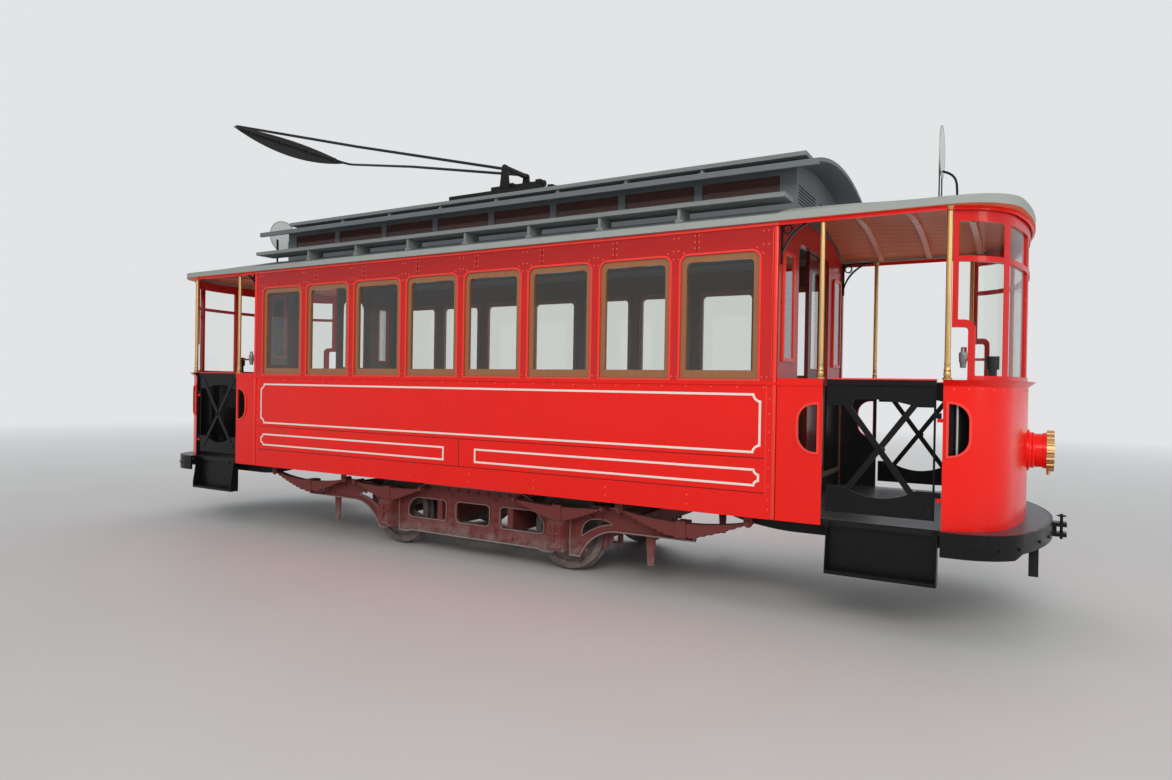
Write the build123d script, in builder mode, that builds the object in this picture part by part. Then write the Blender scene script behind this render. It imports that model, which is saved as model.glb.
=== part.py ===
from build123d import *
from math import atan2, cos, pi, sin, sqrt
import os

os.makedirs("parts", exist_ok=True)

# Two-axle open-platform tram. X runs along the car, with the end shown nearest at +X,
# Y across it, with the near side at -Y, and Z up from the bottom of the wheel flanges.
# Lengths are in millimetres.

# Wheels and axles
tread_radius = 350
flange_height = 20
flange_width = 28
tread_width = 85
wheel_back_spacing = 1360
wheel_base = 2000
axle_radius = 62
journal_radius = 50
journal_clearance = 0.3
hub_radius = 105
spoke_count = 9

# Saloon body
window_pitch = 707
window_count = 8
corner_post = 98
body_width = 2160
wall = 50
rail_z = flange_height
platform_z = rail_z + 712
skirt_z = platform_z - 42
saloon_floor_z = platform_z + 168
floor_thickness = 40
sill_z = saloon_floor_z + 770
wall_top_z = sill_z + 1162
belt_height = 22
belt_depth = 10

# Side windows
sash_width = 616
sash_bottom_z = sill_z + 18
sash_top_z = wall_top_z - 196
sash_radius = 60
sash_depth = 34
sash_stile = 43
sash_bottom_rail = 78
sash_top_rail = 51
pane_radius = 42
pane_thickness = 5
fit_gap = 0.3

# Bulkheads and sliding doors
bulkhead_face_inset = 10
bulkhead_thickness = 40
doorway_width = 1014
doorway_top_z = wall_top_z - 52
doorway_corner = 110
end_window_in = 700
end_window_out = 905
end_window_bottom_z = sill_z + 215
end_window_top_z = wall_top_z - 232
door_width = 530
door_thickness = 32
door_gap = 8
door_stile = 90
door_travel = 490

# Roofs
gutter_overhang = 40
gutter_height = 50
roof_rise = 198
roof_thickness = 42
clerestory_half = 653
clerestory_wall = 25
vent_width = 640
vent_bottom_z = wall_top_z + 328
vent_top_z = vent_bottom_z + 124
upper_overhang = 222
upper_end_overhang = 214
upper_edge_z = vent_top_z - 14
upper_edge_height = 45
upper_rise = 125
upper_thickness = 30
louvre_bottom_z = vent_bottom_z - 100
louvre_count = 6
louvre_pitch = 26
louvre_height = 11

# Platform ends: half width, front, corner radius and front radius of each plan curve
corner_panel_width = 321
gateway_length = 761
platform_inset = 22
bumper_overhang = 45
bumper_reach = 640
bumper_corner = 400
bumper_front_radius = 2300
bumper_plate = 20
bumper_bottom_z = platform_z - 160
bumper_nose_z = bumper_bottom_z + 33
dash_inset = 5
dash_setback = 168
dash_corner = 520
dash_front_radius = 2800
dash_thickness = 36
dash_top_z = sill_z
lip_height = 40
lip_flare = 50
canopy_setback = 143
canopy_corner = 420
canopy_front_radius = 4300
canopy_front_rise = 8
canopy_thickness = 32
canopy_rim = 90
dome_margin = 12
header_bottom_z = wall_top_z - 97

# Gates
gate_gap = 23
hinge_reach = 22
gate_plate = 8
gate_bottom_z = platform_z + 55
gate_top_z = dash_top_z + 37
hinge_heights = (168, 688)

# Corner panels
panel_thickness = 30

# Truck side frames and springs
frame_face_y = 859
frame_plate = 14
flange_depth = 24
flange_thickness = 12
box_width = 160
box_face_y = 1018
box_back_y = 800
box_below_axle = 158
box_above_axle = 100
spring_face_y = 970
leaf_width = 80
leaf_thickness = 13
arm_length = 1236

# Current collector
bow_pivot_x = -190
bow_pivot_height = 264
bow_reach = 3426
bow_rise = 763
bow_half = 850
bow_tube_radius = 15
bow_shaft_radius = 16

# Sizes that follow from the ones above
half_body = body_width / 2
saloon_length = window_count * window_pitch + 2 * corner_post
saloon_end = saloon_length / 2
inner_half = half_body - wall
gutter_half = half_body + gutter_overhang
platform_half = half_body - platform_inset
bumper_half = half_body + bumper_overhang
dash_half = half_body - dash_inset
panel_end_x = saloon_end + corner_panel_width
gate_end_x = panel_end_x + gateway_length
bumper_front_x = gate_end_x + bumper_reach
dash_front_x = bumper_front_x - dash_setback
canopy_front_x = bumper_front_x - canopy_setback
gate_start_x = panel_end_x + gate_gap
gate_axis_x = gate_end_x - hinge_reach
gate_stop_x = gate_axis_x - 20
upper_half = clerestory_half + upper_overhang
upper_length = 2 * (saloon_end + upper_end_overhang)
axle_z = tread_radius + flange_height
half_base = wheel_base / 2
box_bottom_z = axle_z - box_below_axle
box_top_z = axle_z + box_above_axle
arm_seat_z = axle_z + 83
gutter_top_z = wall_top_z + gutter_height
sash_height = sash_top_z - sash_bottom_z
sash_mid_z = (sash_top_z + sash_bottom_z) / 2
bulkhead_face = saloon_end - bulkhead_face_inset
bulkhead_back = bulkhead_face - bulkhead_thickness


def keep(piece, name):
    """Label a finished piece and write its file."""
    piece.part.label = name
    export_step(piece.part, f"parts/{name}.step")


def keep_both_ends(piece, name):
    """Write a piece of the +X end together with its twin at the other end."""
    with BuildPart() as pair:
        add(piece.part)
        mirror(about=Plane.YZ)
    keep(pair, name)


def keep_both_sides(piece, name):
    """Write a piece of the near side together with its twin on the far side."""
    with BuildPart() as pair:
        add(piece.part)
        mirror(about=Plane.XZ)
    keep(pair, name)


def arc_height(offset, half_span, rise):
    """Height above its springing of a circular arch, at a distance from its crown."""
    radius = (half_span**2 + rise**2) / (2 * rise)
    return sqrt(radius**2 - offset**2) - (radius - rise)


def end_outline(start_x, half_width, front_x, corner_r, front_r):
    """Draw the plan curve of a platform end: two straight sides, two corners, one front arc."""
    front_centre = front_x - front_r
    corner_y = half_width - corner_r
    corner_x = front_centre + sqrt((front_r - corner_r) ** 2 - corner_y**2)
    lean = atan2(corner_y, corner_x - front_centre)
    meet = (front_centre + front_r * cos(lean), front_r * sin(lean))
    middle = (lean + pi / 2) / 2
    bulge = (corner_x + corner_r * cos(middle), corner_y + corner_r * sin(middle))
    Line((start_x, half_width), (start_x, -half_width))
    Line((start_x, -half_width), (corner_x, -half_width))
    ThreePointArc((corner_x, -half_width), (bulge[0], -bulge[1]), (meet[0], -meet[1]))
    ThreePointArc((meet[0], -meet[1]), (front_x, 0), meet)
    ThreePointArc(meet, bulge, (corner_x, half_width))
    Line((corner_x, half_width), (start_x, half_width))


# Side walls: one panel from skirt to gutter, with the row of windows cut and a belt rail
outer_face = Plane.XZ.offset(half_body)
with BuildPart() as side_wall:
    with BuildSketch(outer_face):
        with Locations((0, (skirt_z + wall_top_z) / 2)):
            Rectangle(saloon_length, wall_top_z - skirt_z)
    extrude(amount=-wall)
    with BuildSketch(outer_face) as lights:
        with Locations((0, sash_mid_z)):
            with GridLocations(window_pitch, 0, window_count, 1):
                Rectangle(sash_width, sash_height)
        fillet(lights.vertices().group_by(Axis.Y)[-1], sash_radius)
    extrude(amount=-wall, mode=Mode.SUBTRACT)
    with BuildSketch(Plane.YZ.offset(-saloon_end)):
        with Locations((-half_body - belt_depth / 2, sill_z)):
            RectangleRounded(belt_depth + 6, belt_height, 2.5)
    extrude(amount=saloon_length)
keep_both_sides(side_wall, "side_walls")

# Wooden sashes, one in each window opening
sash_plane = Plane.XZ.offset(half_body - 8)
pane_width = sash_width - 2 * sash_stile
pane_bottom_z = sash_bottom_z + sash_bottom_rail
pane_top_z = sash_top_z - sash_top_rail
pane_mid_z = (pane_bottom_z + pane_top_z) / 2
with BuildPart() as sashes:
    with BuildSketch(sash_plane) as frames:
        with Locations((0, sash_mid_z)):
            with GridLocations(window_pitch, 0, window_count, 1):
                Rectangle(sash_width - 2 * fit_gap, sash_height - 2 * fit_gap)
        fillet(frames.vertices().group_by(Axis.Y)[-1], sash_radius)
    extrude(amount=-sash_depth)
    with BuildSketch(sash_plane) as holes:
        with Locations((0, pane_mid_z)):
            with GridLocations(window_pitch, 0, window_count, 1):
                Rectangle(pane_width, pane_top_z - pane_bottom_z)
        fillet(holes.vertices().group_by(Axis.Y)[-1], pane_radius)
    extrude(amount=-sash_depth, mode=Mode.SUBTRACT)
keep_both_sides(sashes, "window_sashes")

# Side window panes, set in the middle of their sashes
with BuildPart() as side_panes:
    with BuildSketch(sash_plane.offset(-(sash_depth - pane_thickness) / 2)) as panes:
        with Locations((0, pane_mid_z)):
            with GridLocations(window_pitch, 0, window_count, 1):
                Rectangle(pane_width - 2 * fit_gap, pane_top_z - pane_bottom_z - 2 * fit_gap)
        fillet(panes.vertices().group_by(Axis.Y)[-1], pane_radius)
    extrude(amount=-pane_thickness)
    mirror(about=Plane.XZ)
keep(side_panes, "side_panes")

# Saloon floor and the ladder frame under it
sill_beam_half = half_body - 90
underframe_depth = 150
cross_beams = 6
underframe_length = saloon_length
bay = underframe_length / (cross_beams - 1)
with BuildPart() as saloon_floor:
    with BuildSketch(Plane.XY.offset(saloon_floor_z - floor_thickness)):
        Rectangle(saloon_length, 2 * inner_half)
    extrude(amount=floor_thickness)
keep(saloon_floor, "saloon_floor")

with BuildPart() as underframe:
    with BuildSketch(Plane.XY.offset(saloon_floor_z - floor_thickness - underframe_depth)):
        Rectangle(underframe_length, 2 * sill_beam_half)
        with GridLocations(bay, 0, cross_beams - 1, 1):
            Rectangle(bay - 90, 2 * sill_beam_half - 160, mode=Mode.SUBTRACT)
    extrude(amount=underframe_depth)
keep(underframe, "underframe")
underframe_bottom_z = saloon_floor_z - floor_thickness - underframe_depth

# Lower roof: a strip on each side, from the gutter up to the clerestory wall
roof_at_clerestory = gutter_top_z + arc_height(clerestory_half, gutter_half, roof_rise)
mid_y = (gutter_half + clerestory_half) / 2
roof_at_middle = gutter_top_z + arc_height(mid_y, gutter_half, roof_rise)
with BuildPart() as lower_roof:
    with BuildSketch(Plane.YZ.offset(-saloon_end)):
        with BuildLine():
            Polyline((-inner_half, wall_top_z), (-gutter_half, wall_top_z), (-gutter_half, gutter_top_z))
            ThreePointArc(
                (-gutter_half, gutter_top_z),
                (-mid_y, roof_at_middle),
                (-clerestory_half, roof_at_clerestory),
            )
            Line(
                (-clerestory_half, roof_at_clerestory),
                (-clerestory_half, roof_at_clerestory - roof_thickness),
            )
            Line(
                (-clerestory_half, roof_at_clerestory - roof_thickness),
                (-inner_half, wall_top_z),
            )
        make_face()
    extrude(amount=saloon_length)
    mirror(about=Plane.XZ)
keep(lower_roof, "lower_roof")

# Clerestory: two side walls with a row of vents, and two louvred end walls, up to the upper roof
clerestory_foot_z = roof_at_clerestory - roof_thickness
upper_arch_z = upper_edge_z + upper_edge_height
upper_crown_z = upper_arch_z + upper_rise
soffit_half = upper_half - upper_thickness
soffit_edge_z = upper_arch_z - upper_thickness + 8
soffit_crown_z = upper_crown_z - upper_thickness
soffit_at_wall = soffit_edge_z + arc_height(clerestory_half, soffit_half, soffit_crown_z - soffit_edge_z)
vent_mid_z = (vent_bottom_z + vent_top_z) / 2
with BuildPart() as clerestory:
    with BuildSketch(Plane.YZ.offset(-saloon_end)):
        with BuildLine():
            Polyline(
                (-clerestory_half, soffit_at_wall),
                (-clerestory_half, clerestory_foot_z),
                (clerestory_half, clerestory_foot_z),
                (clerestory_half, soffit_at_wall),
            )
            ThreePointArc(
                (clerestory_half, soffit_at_wall),
                (0, soffit_crown_z),
                (-clerestory_half, soffit_at_wall),
            )
        make_face()
    extrude(amount=saloon_length)
    with BuildSketch(Plane.XY.offset(clerestory_foot_z)):
        Rectangle(saloon_length - 2 * clerestory_wall, 2 * (clerestory_half - clerestory_wall))
    extrude(amount=upper_crown_z - clerestory_foot_z, mode=Mode.SUBTRACT)
    with BuildSketch(Plane.XZ.offset(clerestory_half)):
        with Locations((0, vent_mid_z)):
            with GridLocations(window_pitch, 0, window_count, 1):
                Rectangle(vent_width, vent_top_z - vent_bottom_z)
    extrude(amount=-2 * clerestory_half, mode=Mode.SUBTRACT)
    with BuildSketch(Plane.YZ.offset(-saloon_end)):
        with Locations((0, louvre_bottom_z + louvre_count * louvre_pitch / 2)):
            with GridLocations(2 * clerestory_half - 640, louvre_pitch, 2, louvre_count):
                Rectangle(540, louvre_height)
    extrude(amount=saloon_length, mode=Mode.SUBTRACT)
keep(clerestory, "clerestory_walls")

with BuildPart() as vent_panes:
    with BuildSketch(Plane.XZ.offset(clerestory_half - 10)):
        with Locations((0, vent_mid_z)):
            with GridLocations(window_pitch, 0, window_count, 1):
                Rectangle(vent_width - 2 * fit_gap, vent_top_z - vent_bottom_z - 2 * fit_gap)
    extrude(amount=-pane_thickness)
    mirror(about=Plane.XZ)
keep(vent_panes, "vent_panes")

# Upper roof: a shallow arch with a turned-down edge, longer and wider than the clerestory
with BuildPart() as upper_roof:
    with BuildSketch(Plane.YZ.offset(-upper_length / 2)):
        with BuildLine():
            Line((-upper_half, upper_edge_z), (-upper_half, upper_arch_z))
            ThreePointArc((-upper_half, upper_arch_z), (0, upper_crown_z), (upper_half, upper_arch_z))
            Polyline(
                (upper_half, upper_arch_z),
                (upper_half, upper_edge_z),
                (soffit_half, upper_edge_z),
                (soffit_half, soffit_edge_z),
            )
            ThreePointArc((soffit_half, soffit_edge_z), (0, soffit_crown_z), (-soffit_half, soffit_edge_z))
            Polyline(
                (-soffit_half, soffit_edge_z), (-soffit_half, upper_edge_z), (-upper_half, upper_edge_z)
            )
        make_face()
    extrude(amount=upper_length)
keep(upper_roof, "upper_roof")

# Roof boards: a walkway on each side of both roofs, on a footed bracket at each window post
lower_board_out = gutter_half - 60
lower_board_in = lower_board_out - 230
lower_board_top_z = wall_top_z + 218
lower_board_length = saloon_length + 48
upper_board_out = upper_half - 270
upper_board_in = upper_board_out - 255
upper_board_top_z = upper_edge_z + 194
upper_board_length = saloon_length + 108
board_thickness = 34
board_gap = 12
bracket_width = 24
bracket_foot_width = 66
bracket_foot_height = 34
board_table = [
    # outer edge, inner edge, top, length, roof half span, roof rise, roof springing
    (lower_board_out, lower_board_in, lower_board_top_z, lower_board_length,
     gutter_half, roof_rise, gutter_top_z),
    (upper_board_out, upper_board_in, upper_board_top_z, upper_board_length,
     upper_half, upper_rise, upper_arch_z),
]
with BuildPart() as boards:
    for outer, inner, top_z, length, span, rise, springing in board_table:
        middle = (outer + inner) / 2
        foot_z = springing + arc_height(outer - 20, span, rise) - 14
        board_bottom = top_z - board_thickness
        board_width = (outer - inner - board_gap) / 2
        with BuildSketch(Plane.YZ.offset(-length / 2)):
            with Locations((-middle, top_z - board_thickness / 2)):
                with GridLocations(board_width + board_gap, 0, 2, 1):
                    Rectangle(board_width, board_thickness)
        extrude(amount=length)
        bracket_middle = (foot_z + bracket_foot_height + board_bottom) / 2
        with BuildSketch(Plane.XZ.offset(outer - 20)) as brackets:
            with GridLocations(window_pitch, 0, window_count - 1, 1):
                with Locations((0, foot_z + bracket_foot_height / 2)):
                    Rectangle(bracket_foot_width, bracket_foot_height)
                with Locations((0, bracket_middle)):
                    Rectangle(bracket_width, board_bottom - foot_z - bracket_foot_height)
            fillet(brackets.vertices().group_by(Axis.Y)[1], 9)
        extrude(amount=-(outer - inner - 40))
        with BuildSketch(Plane.YZ.offset(-length / 2)):
            with BuildLine():
                Polyline((-span, springing), (-span, foot_z - 60), (span, foot_z - 60), (span, springing))
                ThreePointArc((span, springing), (0, springing + rise), (-span, springing))
            make_face()
        extrude(amount=length, mode=Mode.SUBTRACT)
    mirror(about=Plane.XZ)
keep(boards, "roof_boards")

# Bulkheads: a wall across each end of the saloon, with a doorway and a window each side
bulkhead_foot_z = saloon_floor_z
door_bottom_z = saloon_floor_z + fit_gap
door_top_z = doorway_top_z + 20
track_depth = door_thickness + 2 * door_gap
track_height = 28
end_window_mid_y = (end_window_in + end_window_out) / 2
end_window_mid_z = (end_window_top_z + end_window_bottom_z) / 2
with BuildPart() as bulkhead:
    with BuildSketch(Plane.YZ.offset(bulkhead_back)):
        with BuildLine():
            Polyline(
                (-inner_half, bulkhead_foot_z),
                (-inner_half, wall_top_z),
                (-clerestory_half, clerestory_foot_z),
                (clerestory_half, clerestory_foot_z),
                (inner_half, wall_top_z),
                (inner_half, bulkhead_foot_z),
                close=True,
            )
        make_face()
    extrude(amount=bulkhead_thickness)
    with BuildSketch(Plane.YZ.offset(bulkhead_back)) as gaps:
        with Locations((0, (doorway_top_z + bulkhead_foot_z) / 2)):
            Rectangle(doorway_width, doorway_top_z - bulkhead_foot_z)
        fillet(gaps.vertices().group_by(Axis.Y)[-1], doorway_corner)
    extrude(amount=bulkhead_thickness, mode=Mode.SUBTRACT)
    with BuildSketch(Plane.YZ.offset(bulkhead_back)) as gaps:
        with Locations((-end_window_mid_y, end_window_mid_z), (end_window_mid_y, end_window_mid_z)):
            Rectangle(end_window_out - end_window_in, end_window_top_z - end_window_bottom_z)
        fillet(gaps.vertices().group_by(Axis.Y)[-1], 60)
    extrude(amount=bulkhead_thickness, mode=Mode.SUBTRACT)
    with BuildSketch(Plane.XZ.offset(inner_half - 1)):
        with Locations((bulkhead_back - track_depth / 2, door_top_z + fit_gap + track_height / 2)):
            Rectangle(track_depth, track_height)
    extrude(amount=-2 * (inner_half - 1))
keep_both_ends(bulkhead, "bulkheads")

end_sash_stile = 28
with BuildPart() as end_sashes:
    with BuildSketch(Plane.YZ.offset(bulkhead_back + 4)) as frames:
        with Locations((-end_window_mid_y, end_window_mid_z), (end_window_mid_y, end_window_mid_z)):
            Rectangle(
                end_window_out - end_window_in - 2 * fit_gap,
                end_window_top_z - end_window_bottom_z - 2 * fit_gap,
            )
        fillet(frames.vertices().group_by(Axis.Y)[-1], 60)
        with Locations((-end_window_mid_y, end_window_mid_z), (end_window_mid_y, end_window_mid_z)):
            Rectangle(
                end_window_out - end_window_in - 2 * end_sash_stile,
                end_window_top_z - end_window_bottom_z - 2 * end_sash_stile,
                mode=Mode.SUBTRACT,
            )
    extrude(amount=bulkhead_thickness - 8)
    mirror(about=Plane.YZ)
keep(end_sashes, "bulkhead_sashes")

with BuildPart() as end_panes:
    with BuildSketch(Plane.YZ.offset(bulkhead_back + (bulkhead_thickness - pane_thickness) / 2)):
        with Locations((-end_window_mid_y, end_window_mid_z), (end_window_mid_y, end_window_mid_z)):
            Rectangle(
                end_window_out - end_window_in - 2 * end_sash_stile - 2 * fit_gap,
                end_window_top_z - end_window_bottom_z - 2 * end_sash_stile - 2 * fit_gap,
            )
    extrude(amount=pane_thickness)
    mirror(about=Plane.YZ)
keep(end_panes, "bulkhead_panes")

# Sliding doors: two leaves at each end, inside the bulkhead, one slid open and one shut
door_height = door_top_z - door_bottom_z
door_x = bulkhead_back - door_gap - door_thickness
door_pane_bottom_z = sill_z + 140
door_pane_top_z = door_top_z - 150
door_panel_height = 620
door_places = [
    # name, y of the leaf's middle
    ("near", -(door_width / 2 + 4 + door_travel)),
    ("far", door_width / 2 + 4),
]
for side, leaf_y in door_places:
    with BuildPart() as leaf:
        with BuildSketch(Plane.YZ.offset(door_x)):
            with Locations((leaf_y, (door_top_z + door_bottom_z) / 2)):
                Rectangle(door_width, door_height)
        extrude(amount=door_thickness)
        with BuildSketch(Plane.YZ.offset(door_x)) as light:
            with Locations((leaf_y, (door_pane_bottom_z + door_pane_top_z) / 2)):
                Rectangle(door_width - 2 * door_stile, door_pane_top_z - door_pane_bottom_z)
            fillet(light.vertices().group_by(Axis.Y)[-1], 110)
        extrude(amount=door_thickness, mode=Mode.SUBTRACT)
        for face_x, depth in ((door_x + door_thickness, -8), (door_x, 8)):
            with BuildSketch(Plane.YZ.offset(face_x)):
                with Locations((leaf_y, (door_bottom_z + door_pane_bottom_z) / 2)):
                    Rectangle(door_width - 2 * door_stile, door_panel_height)
            extrude(amount=depth, mode=Mode.SUBTRACT)
        with BuildSketch(Plane.YZ.offset(door_x)):
            with Locations((leaf_y, door_pane_bottom_z - 90)):
                with GridLocations(door_width - 110, 0, 2, 1):
                    RectangleRounded(26, 120, 12)
        extrude(amount=6, mode=Mode.SUBTRACT)
    with BuildPart() as leaf_pane:
        with BuildSketch(Plane.YZ.offset(door_x + (door_thickness - pane_thickness) / 2)) as light:
            with Locations((leaf_y, (door_pane_bottom_z + door_pane_top_z) / 2)):
                Rectangle(
                    door_width - 2 * door_stile - 2 * fit_gap,
                    door_pane_top_z - door_pane_bottom_z - 2 * fit_gap,
                )
            fillet(light.vertices().group_by(Axis.Y)[-1], 110 - fit_gap)
        extrude(amount=pane_thickness)
    keep(leaf, f"door_{side}_front")
    keep(leaf_pane, f"door_pane_{side}_front")
    with BuildPart() as twin:
        mirror(leaf.part, about=Plane.YZ)
    keep(twin, f"door_{side}_rear")
    with BuildPart() as twin_pane:
        mirror(leaf_pane.part, about=Plane.YZ)
    keep(twin_pane, f"door_pane_{side}_rear")

# Platform floors and the bumpers round them
with BuildPart() as platform_floor:
    with BuildSketch(Plane.XY.offset(platform_z - floor_thickness)):
        with BuildLine():
            end_outline(
                gate_end_x,
                bumper_half - bumper_plate,
                bumper_front_x - bumper_plate,
                bumper_corner - bumper_plate,
                bumper_front_radius - bumper_plate,
            )
        make_face()
        with Locations(((saloon_end + gate_end_x) / 2, 0)):
            Rectangle(gate_end_x - saloon_end, 2 * platform_half)
    extrude(amount=floor_thickness)
keep_both_ends(platform_floor, "platform_floors")

with BuildPart() as bumper:
    with BuildSketch(Plane.XY.offset(bumper_bottom_z)):
        with BuildLine():
            end_outline(gate_end_x, bumper_half, bumper_front_x, bumper_corner, bumper_front_radius)
        make_face()
        with BuildLine():
            end_outline(
                gate_end_x,
                bumper_half - bumper_plate,
                bumper_front_x - bumper_plate,
                bumper_corner - bumper_plate,
                bumper_front_radius - bumper_plate,
            )
        make_face(mode=Mode.SUBTRACT)
    extrude(amount=platform_z - bumper_bottom_z)
    with BuildSketch(Plane.XZ):
        with BuildLine():
            Polyline(
                (bumper_front_x - 223, bumper_bottom_z - 5),
                (bumper_front_x - 178, bumper_nose_z),
                (bumper_front_x + 20, bumper_nose_z),
                (bumper_front_x + 20, bumper_bottom_z - 5),
                close=True,
            )
        make_face()
    extrude(amount=bumper_half + 20, both=True, mode=Mode.SUBTRACT)
keep_both_ends(bumper, "bumpers")

# Platform bearers: two curved beams under each platform, back under the saloon
bearer_y = half_body - 194
bearer_width = 60
bearer_top_z = platform_z - floor_thickness
bearer_bottom_z = bearer_top_z - 107
bearer_root_x = saloon_end - 476
bearer_tip_x = dash_front_x - 100
with BuildPart() as bearers:
    with BuildSketch(Plane.XZ.offset(bearer_y)):
        with BuildLine():
            Polyline(
                (bearer_root_x, underframe_bottom_z),
                (saloon_end, underframe_bottom_z),
                (saloon_end, bearer_top_z),
                (bearer_tip_x, bearer_top_z),
                (bearer_tip_x, bearer_bottom_z),
                (saloon_end + 74, bearer_bottom_z),
            )
            ThreePointArc(
                (saloon_end + 74, bearer_bottom_z),
                (saloon_end - 236, bearer_bottom_z + 35),
                (bearer_root_x, bearer_top_z - 8),
            )
            Line((bearer_root_x, bearer_top_z - 8), (bearer_root_x, underframe_bottom_z))
        make_face()
    extrude(amount=-bearer_width)
    mirror(about=Plane.XZ)
keep_both_ends(bearers, "platform_bearers")

# Dashes: a curved sheet round each platform end, with a flared rail and a hand hole each side
hand_hole_bottom_z = dash_top_z - 457
hand_hole_top_z = dash_top_z - 109
dash_hole_x = gate_end_x + 25
dash_hole_width = 132
dash_root_x = gate_end_x - 158
with BuildPart() as dash:
    with BuildSketch(Plane.XY.offset(platform_z)):
        with BuildLine():
            end_outline(dash_root_x, dash_half, dash_front_x, dash_corner, dash_front_radius)
        make_face()
    extrude(amount=dash_top_z - platform_z)
    with BuildSketch(Plane.XY.offset(dash_top_z)):
        with BuildLine():
            end_outline(dash_root_x, dash_half, dash_front_x, dash_corner, dash_front_radius)
        make_face()
    with BuildSketch(Plane.XY.offset(dash_top_z + lip_height)):
        with BuildLine():
            end_outline(
                dash_root_x,
                dash_half + lip_flare,
                dash_front_x + lip_flare,
                dash_corner + lip_flare,
                dash_front_radius + lip_flare,
            )
        make_face()
    loft(ruled=True)
    with BuildSketch(Plane.XY.offset(platform_z)):
        with BuildLine():
            end_outline(
                dash_root_x,
                dash_half - dash_thickness,
                dash_front_x - dash_thickness,
                dash_corner - dash_thickness,
                dash_front_radius - dash_thickness,
            )
        make_face()
    extrude(amount=dash_top_z + lip_height - platform_z, mode=Mode.SUBTRACT)
    with BuildSketch(Plane.XY.offset(platform_z)):
        with Locations(((dash_root_x + gate_end_x) / 2, 0)):
            Rectangle(gate_end_x - dash_root_x, 2 * (dash_half + 2 * lip_flare))
    extrude(amount=dash_top_z + lip_height - platform_z, mode=Mode.SUBTRACT)
    with BuildSketch(Plane.XZ) as hole:
        with Locations((dash_hole_x + dash_hole_width / 2, (hand_hole_top_z + hand_hole_bottom_z) / 2)):
            Rectangle(dash_hole_width, hand_hole_top_z - hand_hole_bottom_z)
        fillet(hole.vertices().group_by(Axis.X)[-1], 112)
    extrude(amount=dash_half + 60, both=True, mode=Mode.SUBTRACT)
keep_both_ends(dash, "dashes")

# Corner panels between the saloon and the gates, each with a hand hole
panel_top_z = sill_z - 10
panel_hole_x = panel_end_x - 25
panel_hole_width = 147
panel_hole_bottom_z = sill_z - 480
panel_hole_top_z = sill_z - 136
with BuildPart() as corner_panels:
    with BuildSketch(Plane.XZ.offset(half_body - 4)):
        with Locations(((saloon_end + panel_end_x) / 2, (skirt_z + panel_top_z) / 2)):
            Rectangle(panel_end_x - saloon_end, panel_top_z - skirt_z)
    extrude(amount=-panel_thickness + 12)
    with BuildSketch(Plane.XZ.offset(half_body - 4)) as hole:
        with Locations(
            (panel_hole_x - panel_hole_width / 2, (panel_hole_top_z + panel_hole_bottom_z) / 2)
        ):
            Rectangle(panel_hole_width, panel_hole_top_z - panel_hole_bottom_z)
        fillet(hole.vertices().group_by(Axis.X)[0], 118)
    extrude(amount=-panel_thickness, mode=Mode.SUBTRACT)
    with BuildSketch(Plane.XY.offset(panel_top_z)):
        with Locations(((saloon_end + panel_end_x) / 2, -half_body + 4 + panel_thickness / 2)):
            Rectangle(panel_end_x - saloon_end, panel_thickness + 16)
    extrude(amount=sill_z + lip_height - panel_top_z)
    mirror(about=Plane.XZ)
    mirror(about=Plane.YZ)
keep(corner_panels, "corner_panels")

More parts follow.
